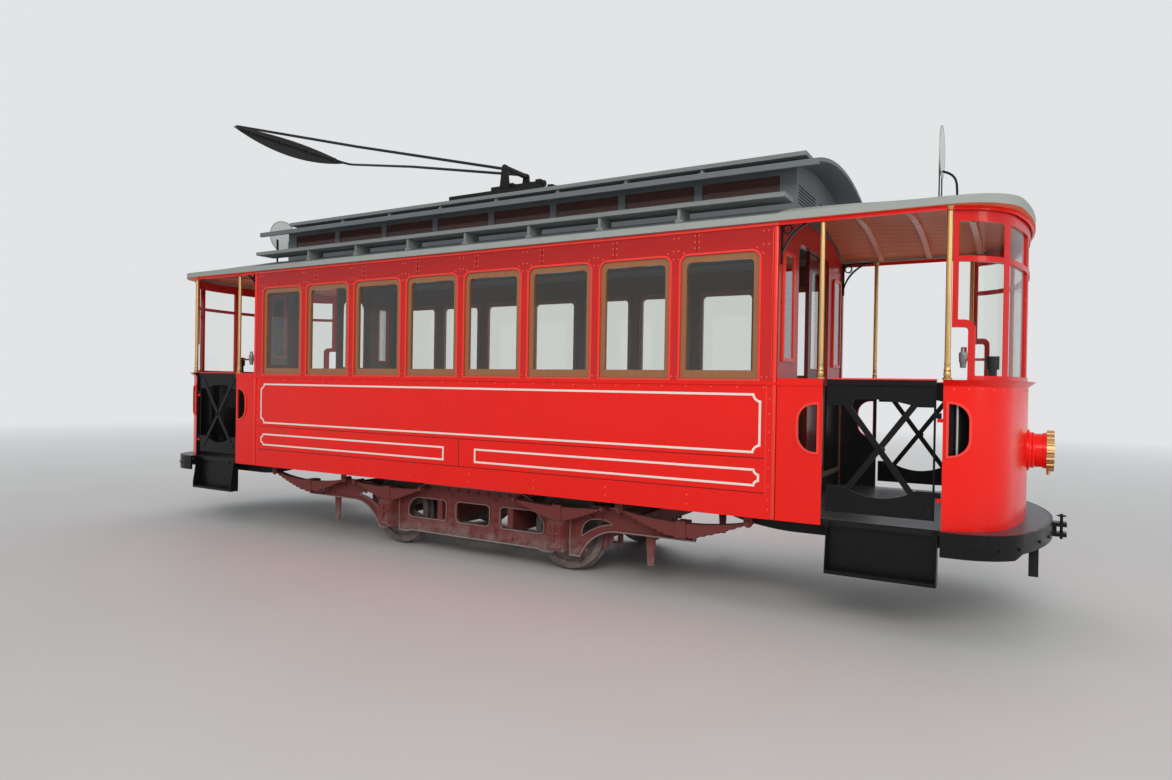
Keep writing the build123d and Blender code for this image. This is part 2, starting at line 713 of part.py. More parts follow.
# Windscreens: pillars, header, transom and the stepped side light, on the plan curve of the dash.
# Below the step the side is open between the pole and an upright bar with a rounded shoulder.
screen_inset = 6
screen_thickness = 34
screen_foot_z = dash_top_z + lip_height
screen_sill = 30
screen_start_x = gate_end_x + 40
pillar_width = 32
light_end_x = screen_start_x + 282
transom_z = wall_top_z - 337
transom_half = 18
step_top_z = dash_top_z + 431
step_bar = 50
bar_x = screen_start_x + 92
bar_width_x = 40
front_light_width = 480
front_light_pitch = 520
with BuildPart() as windscreen:
    with BuildSketch(Plane.XY.offset(screen_foot_z)):
        with BuildLine():
            end_outline(
                dash_root_x,
                dash_half - screen_inset,
                dash_front_x - screen_inset,
                dash_corner - screen_inset,
                dash_front_radius - screen_inset,
            )
        make_face()
        with BuildLine():
            end_outline(
                dash_root_x,
                dash_half - screen_inset - screen_thickness,
                dash_front_x - screen_inset - screen_thickness,
                dash_corner - screen_inset - screen_thickness,
                dash_front_radius - screen_inset - screen_thickness,
            )
        make_face(mode=Mode.SUBTRACT)
    extrude(amount=wall_top_z - screen_foot_z)
    with BuildSketch(Plane.XY.offset(screen_foot_z)):
        with Locations(((dash_root_x + screen_start_x) / 2, 0)):
            Rectangle(screen_start_x - dash_root_x, 2 * dash_half)
    extrude(amount=wall_top_z - screen_foot_z, mode=Mode.SUBTRACT)
    with BuildSketch(Plane.XZ):
        with BuildLine():
            Polyline(
                (screen_start_x + pillar_width, transom_z + transom_half),
                (light_end_x, transom_z + transom_half),
                (light_end_x, header_bottom_z),
                (screen_start_x + pillar_width, header_bottom_z),
                close=True,
            )
        make_face()
    extrude(amount=dash_half + 60, both=True, mode=Mode.SUBTRACT)
    with BuildSketch(Plane.XZ) as side_light:
        with BuildLine():
            Polyline(
                (screen_start_x + pillar_width, step_top_z),
                (bar_x + bar_width_x, step_top_z),
                (bar_x + bar_width_x, screen_foot_z + screen_sill),
                (light_end_x, screen_foot_z + screen_sill),
                (light_end_x, transom_z - transom_half),
                (screen_start_x + pillar_width, transom_z - transom_half),
                close=True,
            )
        make_face()
        shoulder = side_light.vertices().sort_by_distance((bar_x + bar_width_x, step_top_z, 0))[0]
        fillet(shoulder, 60)
    extrude(amount=dash_half + 60, both=True, mode=Mode.SUBTRACT)
    with BuildSketch(Plane.XZ) as side_gap:
        with BuildLine():
            Polyline(
                (dash_root_x, screen_foot_z),
                (bar_x, screen_foot_z),
                (bar_x, step_top_z - step_bar),
                (dash_root_x, step_top_z - step_bar),
                close=True,
            )
        make_face()
        elbow = side_gap.vertices().sort_by_distance((bar_x, step_top_z - step_bar, 0))[0]
        fillet(elbow, 24)
    extrude(amount=dash_half + 60, both=True, mode=Mode.SUBTRACT)
    with BuildSketch(Plane.YZ.offset(dash_front_x - 330)):
        with GridLocations(front_light_pitch, 0, 3, 1):
            with Locations((0, (transom_z + transom_half + header_bottom_z) / 2)):
                Rectangle(front_light_width, header_bottom_z - transom_z - transom_half)
            with Locations((0, (screen_foot_z + screen_sill + transom_z - transom_half) / 2)):
                Rectangle(
                    front_light_width,
                    transom_z - transom_half - screen_foot_z - screen_sill,
                )
    extrude(amount=360, mode=Mode.SUBTRACT)
keep_both_ends(windscreen, "windscreens")

# Windscreen panes, which fill every light but the open notch beside the first pillar
with BuildPart() as screen_panes:
    with BuildSketch(Plane.XY.offset(screen_foot_z)):
        with BuildLine():
            end_outline(
                dash_root_x,
                dash_half - screen_inset - 14,
                dash_front_x - screen_inset - 14,
                dash_corner - screen_inset - 14,
                dash_front_radius - screen_inset - 14,
            )
        make_face()
        with BuildLine():
            end_outline(
                dash_root_x,
                dash_half - screen_inset - 14 - pane_thickness,
                dash_front_x - screen_inset - 14 - pane_thickness,
                dash_corner - screen_inset - 14 - pane_thickness,
                dash_front_radius - screen_inset - 14 - pane_thickness,
            )
        make_face(mode=Mode.SUBTRACT)
    extrude(amount=wall_top_z - screen_foot_z)
    with BuildSketch(Plane.XY.offset(screen_foot_z)):
        with Locations(((dash_root_x + screen_start_x) / 2, 0)):
            Rectangle(screen_start_x - dash_root_x, 2 * dash_half)
    extrude(amount=wall_top_z - screen_foot_z, mode=Mode.SUBTRACT)
    add(windscreen.part, mode=Mode.SUBTRACT)
    with BuildSketch(Plane.XZ):
        with Locations(((screen_start_x + bar_x) / 2, (screen_foot_z + step_top_z) / 2)):
            Rectangle(bar_x + 2 - screen_start_x, step_top_z - step_bar / 2 - screen_foot_z)
    extrude(amount=dash_half + 60, both=True, mode=Mode.SUBTRACT)
    mirror(about=Plane.YZ)
keep(screen_panes, "windscreen_panes")


def canopy_block(inset, drop):
    """A domed block over a platform: arches that flatten towards the front, cut to its plan."""
    half = gutter_half - inset
    wide = half + dome_margin
    edge_z = gutter_top_z - drop
    front = canopy_front_x - inset
    root = saloon_end - dome_margin
    with BuildPart() as block:
        for share in (0, 0.3, 0.55, 0.75, 0.9, 1):
            crown = canopy_front_rise + (roof_rise - canopy_front_rise) * (1 - share**2)
            with BuildSketch(Plane.YZ.offset(root + share * (front + dome_margin - root))):
                with BuildLine():
                    Polyline(
                        (-wide, edge_z),
                        (-wide, wall_top_z - dome_margin),
                        (wide, wall_top_z - dome_margin),
                        (wide, edge_z),
                    )
                    ThreePointArc((-wide, edge_z), (0, edge_z + crown), (wide, edge_z))
                make_face()
        loft(ruled=True)
        with BuildSketch(Plane.XY.offset(wall_top_z)):
            with BuildLine():
                end_outline(saloon_end, half, front, canopy_corner - inset, canopy_front_radius - inset)
            make_face()
        extrude(amount=gutter_height + roof_rise + 50, mode=Mode.INTERSECT)
    return block.part


# Canopies: a thin dome over each platform that carries on the line of the lower roof
with BuildPart() as canopy:
    add(canopy_block(0, 0))
    add(canopy_block(canopy_rim, canopy_thickness), mode=Mode.SUBTRACT)
with BuildPart() as canopies:
    add(canopy.part)
    add(canopy.part.rotate(Axis.Z, 180))
keep(canopies, "canopies")

# Brass poles from the panel tops and dash rails up to the canopies
pole_radius = 18
pole_y = half_body - 22
pole_table = [
    # x, foot
    (panel_end_x - 22, sill_z + lip_height),
    (gate_end_x + 20, screen_foot_z),
]
with BuildPart() as poles:
    for pole_x, foot_z in pole_table:
        with BuildSketch(Plane.XY.offset(foot_z)):
            with Locations((pole_x, -pole_y)):
                Circle(pole_radius)
        extrude(amount=wall_top_z - foot_z)
    mirror(about=Plane.XZ)
    mirror(about=Plane.YZ)
keep(poles, "platform_poles")

# Canopy frames: bent ribs under each dome, and a cornice strip round the platform under its rim,
# stopped at the poles
rib_places = (0.22, 0.48, 0.74)
rib_width = 44
rib_depth = 26
cornice_height = 27
cornice_thickness = 10
cornice_gap = dash_inset + 1
with BuildPart() as canopy_frames:
    add(canopy_block(canopy_rim, canopy_thickness))
    add(canopy_block(canopy_rim, canopy_thickness + rib_depth), mode=Mode.SUBTRACT)
    with BuildSketch(Plane.XY.offset(wall_top_z - dome_margin)):
        for share in rib_places:
            with Locations((saloon_end + share * (canopy_front_x - saloon_end), 0)):
                Rectangle(rib_width, 2 * gutter_half)
    extrude(amount=roof_rise + gutter_height, mode=Mode.INTERSECT)
    with BuildSketch(Plane.XY.offset(wall_top_z - cornice_height)):
        with BuildLine():
            end_outline(
                dash_root_x,
                half_body + cornice_thickness,
                dash_front_x + cornice_gap + cornice_thickness,
                dash_corner + cornice_gap + cornice_thickness,
                dash_front_radius + cornice_gap + cornice_thickness,
            )
        make_face()
        with Locations(((saloon_end + dash_root_x) / 2, 0)):
            Rectangle(dash_root_x - saloon_end, 2 * (half_body + cornice_thickness))
            Rectangle(dash_root_x - saloon_end, 2 * half_body, mode=Mode.SUBTRACT)
        with BuildLine():
            end_outline(
                dash_root_x,
                half_body,
                dash_front_x + cornice_gap,
                dash_corner + cornice_gap,
                dash_front_radius + cornice_gap,
            )
        make_face(mode=Mode.SUBTRACT)
    extrude(amount=cornice_height)
    add(poles.part, mode=Mode.SUBTRACT)
keep_both_ends(canopy_frames, "canopy_frames")

# Gates: a crossed pair of bars between two shaped plates under a top rail, hinged beside the
# dash, with a round rod down the hinge side
gate_y = half_body - 34
gate_mid_x = (gate_start_x + gate_stop_x) / 2
gate_width = gate_stop_x - gate_start_x
bar_width = 40
knuckle_radius = 13
gate_hinge_z = [gate_bottom_z + height for height in hinge_heights]
gate_rod_radius = 7
with BuildPart() as gate:
    with BuildSketch(Plane.XZ.offset(gate_y)):
        with Locations((gate_mid_x, (gate_bottom_z + gate_top_z) / 2)):
            Rectangle(gate_width, gate_top_z - gate_bottom_z)
        with BuildLine():
            Polyline(
                (gate_start_x - 5, gate_bottom_z + 188),
                (gate_start_x + 110, gate_bottom_z + 188),
            )
            ThreePointArc(
                (gate_start_x + 110, gate_bottom_z + 188),
                (gate_mid_x, gate_bottom_z + 118),
                (gate_stop_x - 110, gate_bottom_z + 188),
            )
            Polyline(
                (gate_stop_x - 110, gate_bottom_z + 188),
                (gate_stop_x + 5, gate_bottom_z + 188),
                (gate_stop_x + 5, gate_top_z - 180),
                (gate_stop_x - 110, gate_top_z - 180),
            )
            ThreePointArc(
                (gate_stop_x - 110, gate_top_z - 180),
                (gate_mid_x, gate_top_z - 136),
                (gate_start_x + 180, gate_top_z - 140),
            )
            Polyline(
                (gate_start_x + 180, gate_top_z - 140),
                (gate_start_x + 170, gate_top_z - 180),
                (gate_start_x - 5, gate_top_z - 180),
                (gate_start_x - 5, gate_bottom_z + 188),
            )
        make_face(mode=Mode.SUBTRACT)
    extrude(amount=-gate_plate)
    cross_rise = gate_top_z - gate_bottom_z - 190
    cross_run = gate_width - 170
    cross_length = sqrt(cross_rise**2 + cross_run**2) + 57
    lean_one = atan2(cross_rise, cross_run) * 180 / pi
    for turn in (lean_one, -lean_one):
        with BuildSketch(Plane.XZ.offset(gate_y + 5)):
            with Locations(Location((gate_mid_x, (gate_bottom_z + gate_top_z) / 2 - 10, 0), turn)):
                Rectangle(cross_length, bar_width)
        extrude(amount=-gate_plate - 2)
    with BuildSketch(Plane.XZ.offset(gate_y + 14)):
        with Locations((gate_mid_x, gate_top_z - 19)):
            Rectangle(gate_width, 38)
    extrude(amount=-gate_plate - 20)
    with BuildSketch(Plane.XY.offset(gate_bottom_z)):
        with Locations((gate_stop_x - gate_rod_radius, -gate_y + gate_plate / 2)):
            Circle(gate_rod_radius)
    extrude(amount=gate_top_z - gate_bottom_z - 10)
    for z in gate_hinge_z:
        with BuildSketch(Plane.XZ.offset(gate_y)):
            with Locations(((gate_stop_x + gate_axis_x) / 2 - gate_rod_radius, z)):
                Rectangle(gate_axis_x - gate_stop_x + 2 * gate_rod_radius, 36)
        extrude(amount=-gate_plate)
        with BuildSketch(Plane.XY.offset(z - 18)):
            with Locations((gate_axis_x, -gate_y + gate_plate / 2)):
                Circle(knuckle_radius)
        extrude(amount=36)
gate_axis_y = gate_y - gate_plate / 2
for end, flip_x in (("front", False), ("rear", True)):
    for side, flip_y in (("near", False), ("far", True)):
        with BuildPart() as placed:
            add(gate.part)
            if flip_x:
                mirror(about=Plane.YZ, mode=Mode.REPLACE)
            if flip_y:
                mirror(about=Plane.XZ, mode=Mode.REPLACE)
        keep(placed, f"gate_{end}_{side}")

# Gate hinges: a pin block under each knuckle, on an arm from the dash edge
with BuildPart() as hinges:
    for z in gate_hinge_z:
        with BuildSketch(Plane.XY.offset(z - 18 - fit_gap - 24)):
            with Locations((gate_axis_x, -gate_axis_y)):
                Circle(knuckle_radius)
            with Locations(((gate_axis_x + gate_end_x) / 2, -gate_axis_y)):
                Rectangle(gate_end_x - gate_axis_x, 14)
        extrude(amount=24)
    mirror(about=Plane.XZ)
    mirror(about=Plane.YZ)
keep(hinges, "gate_hinges")

# Steps: a riser plate with cheeks and a shallow tread under each gate
step_x = (panel_end_x + 35, gate_end_x - 18)
step_tread_y = bumper_half - 15
step_riser_y = step_tread_y - 90
step_bottom_z = platform_z - 367
step_plate = 8
step_hang_z = platform_z - floor_thickness
step_length = step_x[1] - step_x[0]
step_mid_x = (step_x[0] + step_x[1]) / 2
with BuildPart() as steps:
    with BuildSketch(Plane.XZ.offset(step_riser_y)):
        with Locations((step_mid_x, (step_bottom_z + step_hang_z) / 2)):
            Rectangle(step_length, step_hang_z - step_bottom_z)
    extrude(amount=-step_plate)
    with BuildSketch(Plane.XY.offset(step_bottom_z)):
        with Locations((step_mid_x, -(step_riser_y + step_tread_y) / 2)):
            Rectangle(step_length, step_tread_y - step_riser_y)
    extrude(amount=26)
    with BuildSketch(Plane.YZ.offset(step_x[0])):
        with BuildLine():
            Polyline(
                (-step_riser_y, step_bottom_z),
                (-step_tread_y, step_bottom_z),
                (-step_tread_y, step_bottom_z + 60),
                (-step_riser_y - 50, step_hang_z),
                (-step_riser_y, step_hang_z),
                close=True,
            )
        make_face()
    cheek = extrude(amount=step_plate)
    mirror(cheek, about=Plane.YZ.offset(step_mid_x))
    mirror(about=Plane.XZ)
    mirror(about=Plane.YZ)
keep(steps, "steps")

# Scroll brackets in the corners between the saloon ends and the canopies
scroll_y = half_body - 30
scroll_width = 24
scroll_reach = 270
scroll_drop = 300
scroll_bar = 12
with BuildPart() as scrolls:
    with BuildSketch(Plane.XZ.offset(scroll_y)):
        with Locations((saloon_end + scroll_bar / 2, wall_top_z - scroll_drop / 2)):
            Rectangle(scroll_bar, scroll_drop)
        with Locations((saloon_end + scroll_reach / 2, wall_top_z - scroll_bar / 2)):
            Rectangle(scroll_reach, scroll_bar)
        with BuildLine():
            ThreePointArc(
                (saloon_end + 2, wall_top_z - scroll_drop + 10),
                (saloon_end + 68, wall_top_z - 120),
                (saloon_end + scroll_reach - 10, wall_top_z - 2),
            )
            Line(
                (saloon_end + scroll_reach - 10, wall_top_z - 2),
                (saloon_end + scroll_reach - 30, wall_top_z - 2),
            )
            ThreePointArc(
                (saloon_end + scroll_reach - 30, wall_top_z - 2),
                (saloon_end + 58, wall_top_z - 110),
                (saloon_end + 2, wall_top_z - scroll_drop + 35),
            )
            Line(
                (saloon_end + 2, wall_top_z - scroll_drop + 35),
                (saloon_end + 2, wall_top_z - scroll_drop + 10),
            )
        make_face()
        with Locations((saloon_end + 48, wall_top_z - 52)):
            Circle(36)
            Circle(26, mode=Mode.SUBTRACT)
    extrude(amount=-scroll_width)
    mirror(about=Plane.XZ)
    mirror(about=Plane.YZ)
keep(scrolls, "scroll_brackets")

# Driving gear on each platform: controller stand and hand-brake column
driver_x = dash_front_x - 240
driver_y = 330
controller_height = 930
column_height = 1080
with BuildPart() as controllers:
    with BuildSketch(Plane.XY.offset(platform_z)):
        with Locations((driver_x, -driver_y)):
            RectangleRounded(240, 330, 60)
    extrude(amount=controller_height)
    fillet(controllers.edges().group_by(Axis.Z)[-1], 30)
    with BuildSketch(Plane.XY.offset(platform_z + controller_height)):
        with Locations((driver_x, -driver_y)):
            Circle(22)
    extrude(amount=70)
    with BuildSketch(Plane.XY.offset(platform_z + controller_height + 55)):
        with Locations((driver_x - 60, -driver_y)):
            RectangleRounded(170, 30, 12)
    extrude(amount=22)
    add(controllers.part.rotate(Axis.Z, 180))
keep(controllers, "controllers")

with BuildPart() as brake_columns:
    with BuildSketch(Plane.XY.offset(platform_z)):
        with Locations((driver_x - 10, driver_y)):
            Circle(80)
    extrude(amount=14)
    with BuildSketch(Plane.XY.offset(platform_z)):
        with Locations((driver_x - 10, driver_y)):
            Circle(32)
    extrude(amount=column_height)
    with BuildSketch(Plane.XY.offset(platform_z + column_height)):
        with Locations((driver_x - 10, driver_y)):
            Circle(48)
    extrude(amount=104)
    with BuildSketch(Plane.XY.offset(platform_z + column_height + 70)):
        with Locations((driver_x - 110, driver_y)):
            RectangleRounded(230, 26, 10)
    extrude(amount=20)
    with BuildSketch(Plane.XY.offset(platform_z + column_height + 70)):
        with Locations((driver_x - 210, driver_y)):
            Circle(16)
    extrude(amount=110)
    add(brake_columns.part.rotate(Axis.Z, 180))
keep(brake_columns, "brake_columns")

# Benches along both side walls of the saloon
bench_length = saloon_length - 2 * 700
bench_seat_z = saloon_floor_z + 440
bench_depth = 430
slat = 70
with BuildPart() as bench:
    with BuildSketch(Plane.YZ.offset(-bench_length / 2)):
        with Locations((-inner_half + 60 + bench_depth / 2, bench_seat_z - 12)):
            with GridLocations(slat + 12, 0, 5, 1):
                Rectangle(slat, 24)
        with Locations((-inner_half + 22, bench_seat_z + 140)):
            with GridLocations(0, slat + 30, 1, 3):
                Rectangle(20, slat)
    extrude(amount=bench_length)
    with BuildSketch(Plane.YZ.offset(-20)):
        with BuildLine():
            Polyline(
                (-inner_half, saloon_floor_z),
                (-inner_half, bench_seat_z + 270),
                (-inner_half + 12, bench_seat_z + 270),
                (-inner_half + 12, bench_seat_z - 24),
                (-inner_half + 60 + bench_depth, bench_seat_z - 24),
                (-inner_half + bench_depth, saloon_floor_z),
                close=True,
            )
        make_face()
    support = extrude(amount=40, mode=Mode.PRIVATE)
    with GridLocations(bench_length / 4 - 12, 0, 5, 1):
        add(support)
keep_both_sides(bench, "benches")

# Truck side frames: a pressed plate with beaded windows, axle-box jaws and end arms, its whole
# edge flanged outwards
jaw_half = box_width / 2 + fit_gap
frame_bottom_z = axle_z - 190
frame_top_z = axle_z + 290
arm_top_z = axle_z + 246
arm_bottom_z = axle_z + 41
jaw_top_z = box_top_z + fit_gap
window_top_z = axle_z + 136
window_bottom_z = axle_z - 53
window_mid_z = (window_top_z + window_bottom_z) / 2
window_height = window_top_z - window_bottom_z
middle_window = 390
side_window_in = 324
side_window_out = half_base - 200
window_bead = 9
arm_tip_x = half_base + arm_length


def frame_half_outline():
    """Outline of the +X half of a side frame, closed along its middle."""
    jaw_in = half_base - jaw_half
    jaw_out = half_base + jaw_half
    Polyline(
        (0, frame_top_z),
        (0, frame_bottom_z),
        (half_base - 240, frame_bottom_z),
        (half_base - 200, frame_bottom_z - 15),
        (jaw_in, frame_bottom_z - 15),
        (jaw_in, jaw_top_z),
        (jaw_out, jaw_top_z),
        (jaw_out, frame_bottom_z - 15),
        (half_base + 190, frame_bottom_z - 15),
    )
    ThreePointArc(
        (half_base + 190, frame_bottom_z - 15),
        (half_base + 330, arm_bottom_z - 66),
        (half_base + 560, arm_bottom_z),
    )
    Polyline(
        (half_base + 560, arm_bottom_z),
        (arm_tip_x, arm_bottom_z + 5),
        (arm_tip_x, arm_seat_z),
        (arm_tip_x - 176, arm_seat_z),
        (half_base + 650, arm_top_z),
        (half_base + 310, arm_top_z),
        (half_base + 170, jaw_top_z + 50),
        (half_base - 170, jaw_top_z + 50),
        (half_base - 360, frame_top_z - 30),
        (half_base - 440, frame_top_z),
        (0, frame_top_z),
    )


frame_plane = Plane.XZ.offset(frame_face_y)
with BuildSketch(frame_plane) as frame_lights:
    with Locations(((side_window_in + side_window_out) / 2, window_mid_z)):
        Rectangle(side_window_out - side_window_in, window_height)
    fillet(frame_lights.vertices().group_by(Axis.X)[0], 40)
    fillet(frame_lights.vertices().group_by(Axis.X)[-1].sort_by(Axis.Y)[-1], 140)
    fillet(frame_lights.vertices().group_by(Axis.X)[-1].sort_by(Axis.Y)[0], 36)
    with Locations((0, window_mid_z)):
        RectangleRounded(middle_window, window_height, 40)
    with BuildLine():
        ThreePointArc(
            (half_base + 200, arm_bottom_z - 61),
            (half_base + 235, arm_bottom_z + 49),
            (half_base + 330, arm_bottom_z + 85),
        )
        ThreePointArc(
            (half_base + 330, arm_bottom_z + 85),
            (half_base + 420, arm_bottom_z + 87),
            (half_base + 482, arm_bottom_z + 61),
        )
        ThreePointArc(
            (half_base + 482, arm_bottom_z + 61),
            (half_base + 330, arm_bottom_z + 19),
            (half_base + 200, arm_bottom_z - 61),
        )
    make_face()
    mirror(about=Plane.YZ)
with BuildPart() as truck_frame:
    with BuildSketch(frame_plane):
        with BuildLine():
            frame_half_outline()
        make_face()
        mirror(about=Plane.YZ)
    extrude(amount=-frame_plate)
    with BuildSketch(frame_plane):
        with BuildLine():
            frame_half_outline()
        make_face()
        mirror(about=Plane.YZ)
        offset(amount=-flange_thickness, mode=Mode.SUBTRACT, kind=Kind.INTERSECTION)
    extrude(amount=flange_depth)
    with BuildSketch(frame_plane):
        add(frame_lights.sketch_local)
        offset(amount=window_bead)
        add(frame_lights.sketch_local, mode=Mode.SUBTRACT)
    extrude(amount=window_bead)
    extrude(frame_lights.sketch, amount=-frame_plate, mode=Mode.SUBTRACT)
keep_both_sides(truck_frame, "truck_frames")

# Truck cross beams between the two side frames
frame_back_y = frame_face_y - frame_plate
transom_x = half_base - 580
transom_width = 60
headstock_x = half_base + 720
with BuildPart() as crossbeams:
    with BuildSketch(Plane.XZ.offset(frame_back_y)):
        with Locations((-transom_x, axle_z + 50), (transom_x, axle_z + 50)):
            Rectangle(transom_width, 280)
        with Locations((-headstock_x, axle_z + 140), (headstock_x, axle_z + 140)):
            Rectangle(50, 120)
    extrude(amount=-2 * frame_back_y)
keep(crossbeams, "truck_crossbeams")

# Motors: one plain block beside each axle, hung from the nearer cross beam
motor_half_width = 470
motor_root_x = transom_x + transom_width / 2
motor_tip_x = half_base - axle_radius - 48
with BuildPart() as motors:
    with BuildSketch(Plane.XZ.offset(motor_half_width)):
        with Locations(((motor_root_x + motor_tip_x) / 2, axle_z + 30)):
            RectangleRounded(motor_tip_x - motor_root_x, 400, 90)
    extrude(amount=-2 * motor_half_width)
    mirror(about=Plane.YZ)
keep(motors, "motors")

# Axle boxes: a casting in each jaw, bored for the journal, with a lid on the front
with BuildPart() as axle_boxes:
    with BuildSketch(Plane.XZ.offset(box_face_y - 30)):
        with Locations((half_base, (box_bottom_z + box_top_z) / 2)):
            Rectangle(box_width, box_top_z - box_bottom_z)
    extrude(amount=-(box_face_y - 30 - box_back_y))
    with BuildSketch(Plane.XZ.offset(box_face_y - 30)) as lid:
        with Locations((half_base, (box_bottom_z + box_top_z) / 2 + 6)):
            Rectangle(box_width - 10, box_top_z - box_bottom_z - 30)
        fillet(lid.vertices(), 26)
    extrude(amount=30, taper=14)
    with BuildSketch(Plane.XZ.offset(box_back_y)):
        with Locations((half_base, axle_z)):
            Circle(journal_radius + journal_clearance)
    extrude(amount=box_face_y - 50 - box_back_y, mode=Mode.SUBTRACT)
    mirror(about=Plane.XZ)
    mirror(about=Plane.YZ)
keep(axle_boxes, "axle_boxes")


def leaf_outline(middle_x, centre_z, inner_r, reach):
    """Draw the side view of one leaf: an arc about a centre above it, with square ends."""
    outer_r = inner_r + leaf_thickness
    inner_end = centre_z - sqrt(inner_r**2 - reach**2)
    outer_end = centre_z - sqrt(outer_r**2 - reach**2)
    left = middle_x - reach
    right = middle_x + reach
    ThreePointArc((left, inner_end), (middle_x, centre_z - inner_r), (right, inner_end))
    Line((right, inner_end), (right, outer_end))
    ThreePointArc((right, outer_end), (middle_x, centre_z - outer_r), (left, outer_end))
    Line((left, outer_end), (left, inner_end))


# Leaf springs: one over each axle box and one at each end of the side frames
axle_spring_half = 446
end_spring_x = arm_tip_x - 86
end_spring_half = 545
eye_radius = 24
spring_back_y = spring_face_y - leaf_width
spring_table = [
    # middle x, eye height, half length, sag, leaves, step, buckle foot, buckle back y, hanger top
    (half_base, axle_z + 242, axle_spring_half, 22, 9, 44, box_top_z, spring_back_y - 4, 0),
    (end_spring_x, axle_z + 258, end_spring_half, 60, 8, 58, arm_seat_z,
     frame_face_y - frame_plate, underframe_bottom_z),
]
with BuildPart() as springs:
    for middle, eye_z, half_length, sag, leaves, step, seat_z, back_y, hanger_z in spring_table:
        buckle_top = eye_z - sag + 16
        bend = (half_length**2 + sag**2) / (2 * sag)
        centre_z = eye_z - sag + bend
        eyes = (middle - half_length, middle + half_length)
        with BuildSketch(Plane.XZ.offset(spring_face_y)):
            for leaf in range(leaves):
                with BuildLine():
                    leaf_outline(
                        middle, centre_z, bend + leaf * leaf_thickness, half_length - leaf * step
                    )
                make_face()
            with Locations((eyes[0], eye_z), (eyes[1], eye_z)):
                Circle(eye_radius)
        extrude(amount=-leaf_width)
        with BuildSketch(Plane.XZ.offset(spring_face_y + 8)):
            with Locations((middle, (buckle_top + seat_z) / 2)):
                Rectangle(88, buckle_top - seat_z)
        extrude(amount=back_y - spring_face_y - 8)
        with BuildSketch(Plane.XZ.offset(spring_face_y)):
            with Locations((eyes[0], eye_z), (eyes[1], eye_z)):
                Circle(eye_radius - 6)
        extrude(amount=26)
        if hanger_z:
            for eye_x in eyes:
                with BuildSketch(Plane.XZ.offset(spring_face_y + 12)):
                    with BuildLine():
                        Polyline(
                            (eye_x + 34, eye_z),
                            (eye_x + 34, hanger_z),
                            (eye_x - 34, hanger_z),
                            (eye_x - 34, eye_z),
                        )
                        ThreePointArc((eye_x - 34, eye_z), (eye_x, eye_z - 34), (eye_x + 34, eye_z))
                    make_face()
                extrude(amount=-12)
        else:
            with BuildSketch(Plane.XZ.offset(spring_face_y - leaf_width)):
                with Locations((eyes[0], eye_z), (eyes[1], eye_z)):
                    Circle(eye_radius)
            extrude(amount=-(spring_face_y - leaf_width - frame_face_y))
    mirror(about=Plane.XZ)
    mirror(about=Plane.YZ)
    add(truck_frame.part, mode=Mode.SUBTRACT)
    add(mirror(truck_frame.part, about=Plane.XZ, mode=Mode.PRIVATE), mode=Mode.SUBTRACT)
keep(springs, "leaf_springs")

# Guard plates hung from the side-frame arms
guard_x = half_base + 835
guard_foot_z = rail_z + 149
with BuildPart() as guards:
    with BuildSketch(Plane.XZ.offset(frame_back_y)):
        with BuildLine():
            Polyline(
                (guard_x - 44, arm_seat_z - 5),
                (guard_x + 44, arm_seat_z - 5),
                (guard_x + 30, guard_foot_z),
                (guard_x - 24, guard_foot_z),
                close=True,
            )
        make_face()
    extrude(amount=-16)
    mirror(about=Plane.XZ)
    mirror(about=Plane.YZ)
keep(guards, "guard_plates")

# Wheelsets: axle, two spoked wheels with flanged tyres, and the outside journals
wheel_in = wheel_back_spacing / 2
wheel_out = wheel_in + tread_width
flange_radius = tread_radius + flange_height
web_mid = wheel_in + 48
with BuildPart() as wheelset:
    with BuildSketch(Plane.XY):
        with BuildLine():
            Polyline(
                (0, 0),
                (axle_radius, 0),
                (axle_radius + 12, wheel_in - 40),
                (hub_radius, wheel_in - 20),
                (hub_radius, web_mid - 16),
                (tread_radius - 62, web_mid - 16),
                (tread_radius - 62, wheel_in + 4),
                (tread_radius - 50, wheel_in),
                (flange_radius - 6, wheel_in),
                (flange_radius, wheel_in + 10),
                (flange_radius - 4, wheel_in + flange_width - 8),
                (tread_radius, wheel_in + flange_width),
                (tread_radius, wheel_out - 6),
                (tread_radius - 6, wheel_out),
                (tread_radius - 50, wheel_out),
                (tread_radius - 62, wheel_out - 6),
                (tread_radius - 62, web_mid + 16),
                (hub_radius, web_mid + 16),
                (hub_radius - 10, wheel_out + 12),
                (journal_radius, wheel_out + 16),
                (journal_radius, box_face_y - 60),
                (0, box_face_y - 60),
                close=True,
            )
        make_face()
    revolve(axis=Axis.Y)
    with BuildSketch(Plane.XZ.offset(-wheel_in)):
        with PolarLocations(0, spoke_count):
            with BuildLine():
                Polyline(
                    (hub_radius + 12, -14),
                    (hub_radius + 12, 14),
                    (tread_radius - 72, 74),
                    (tread_radius - 66, 0),
                    (tread_radius - 72, -74),
                    close=True,
                )
            make_face()
    extrude(amount=-tread_width, mode=Mode.SUBTRACT)
    mirror(about=Plane.XZ)
for end, place in (("front", half_base), ("rear", -half_base)):
    with BuildPart() as placed:
        with Locations((place, 0, axle_z)):
            add(wheelset.part)
    keep(placed, f"wheelset_{end}")

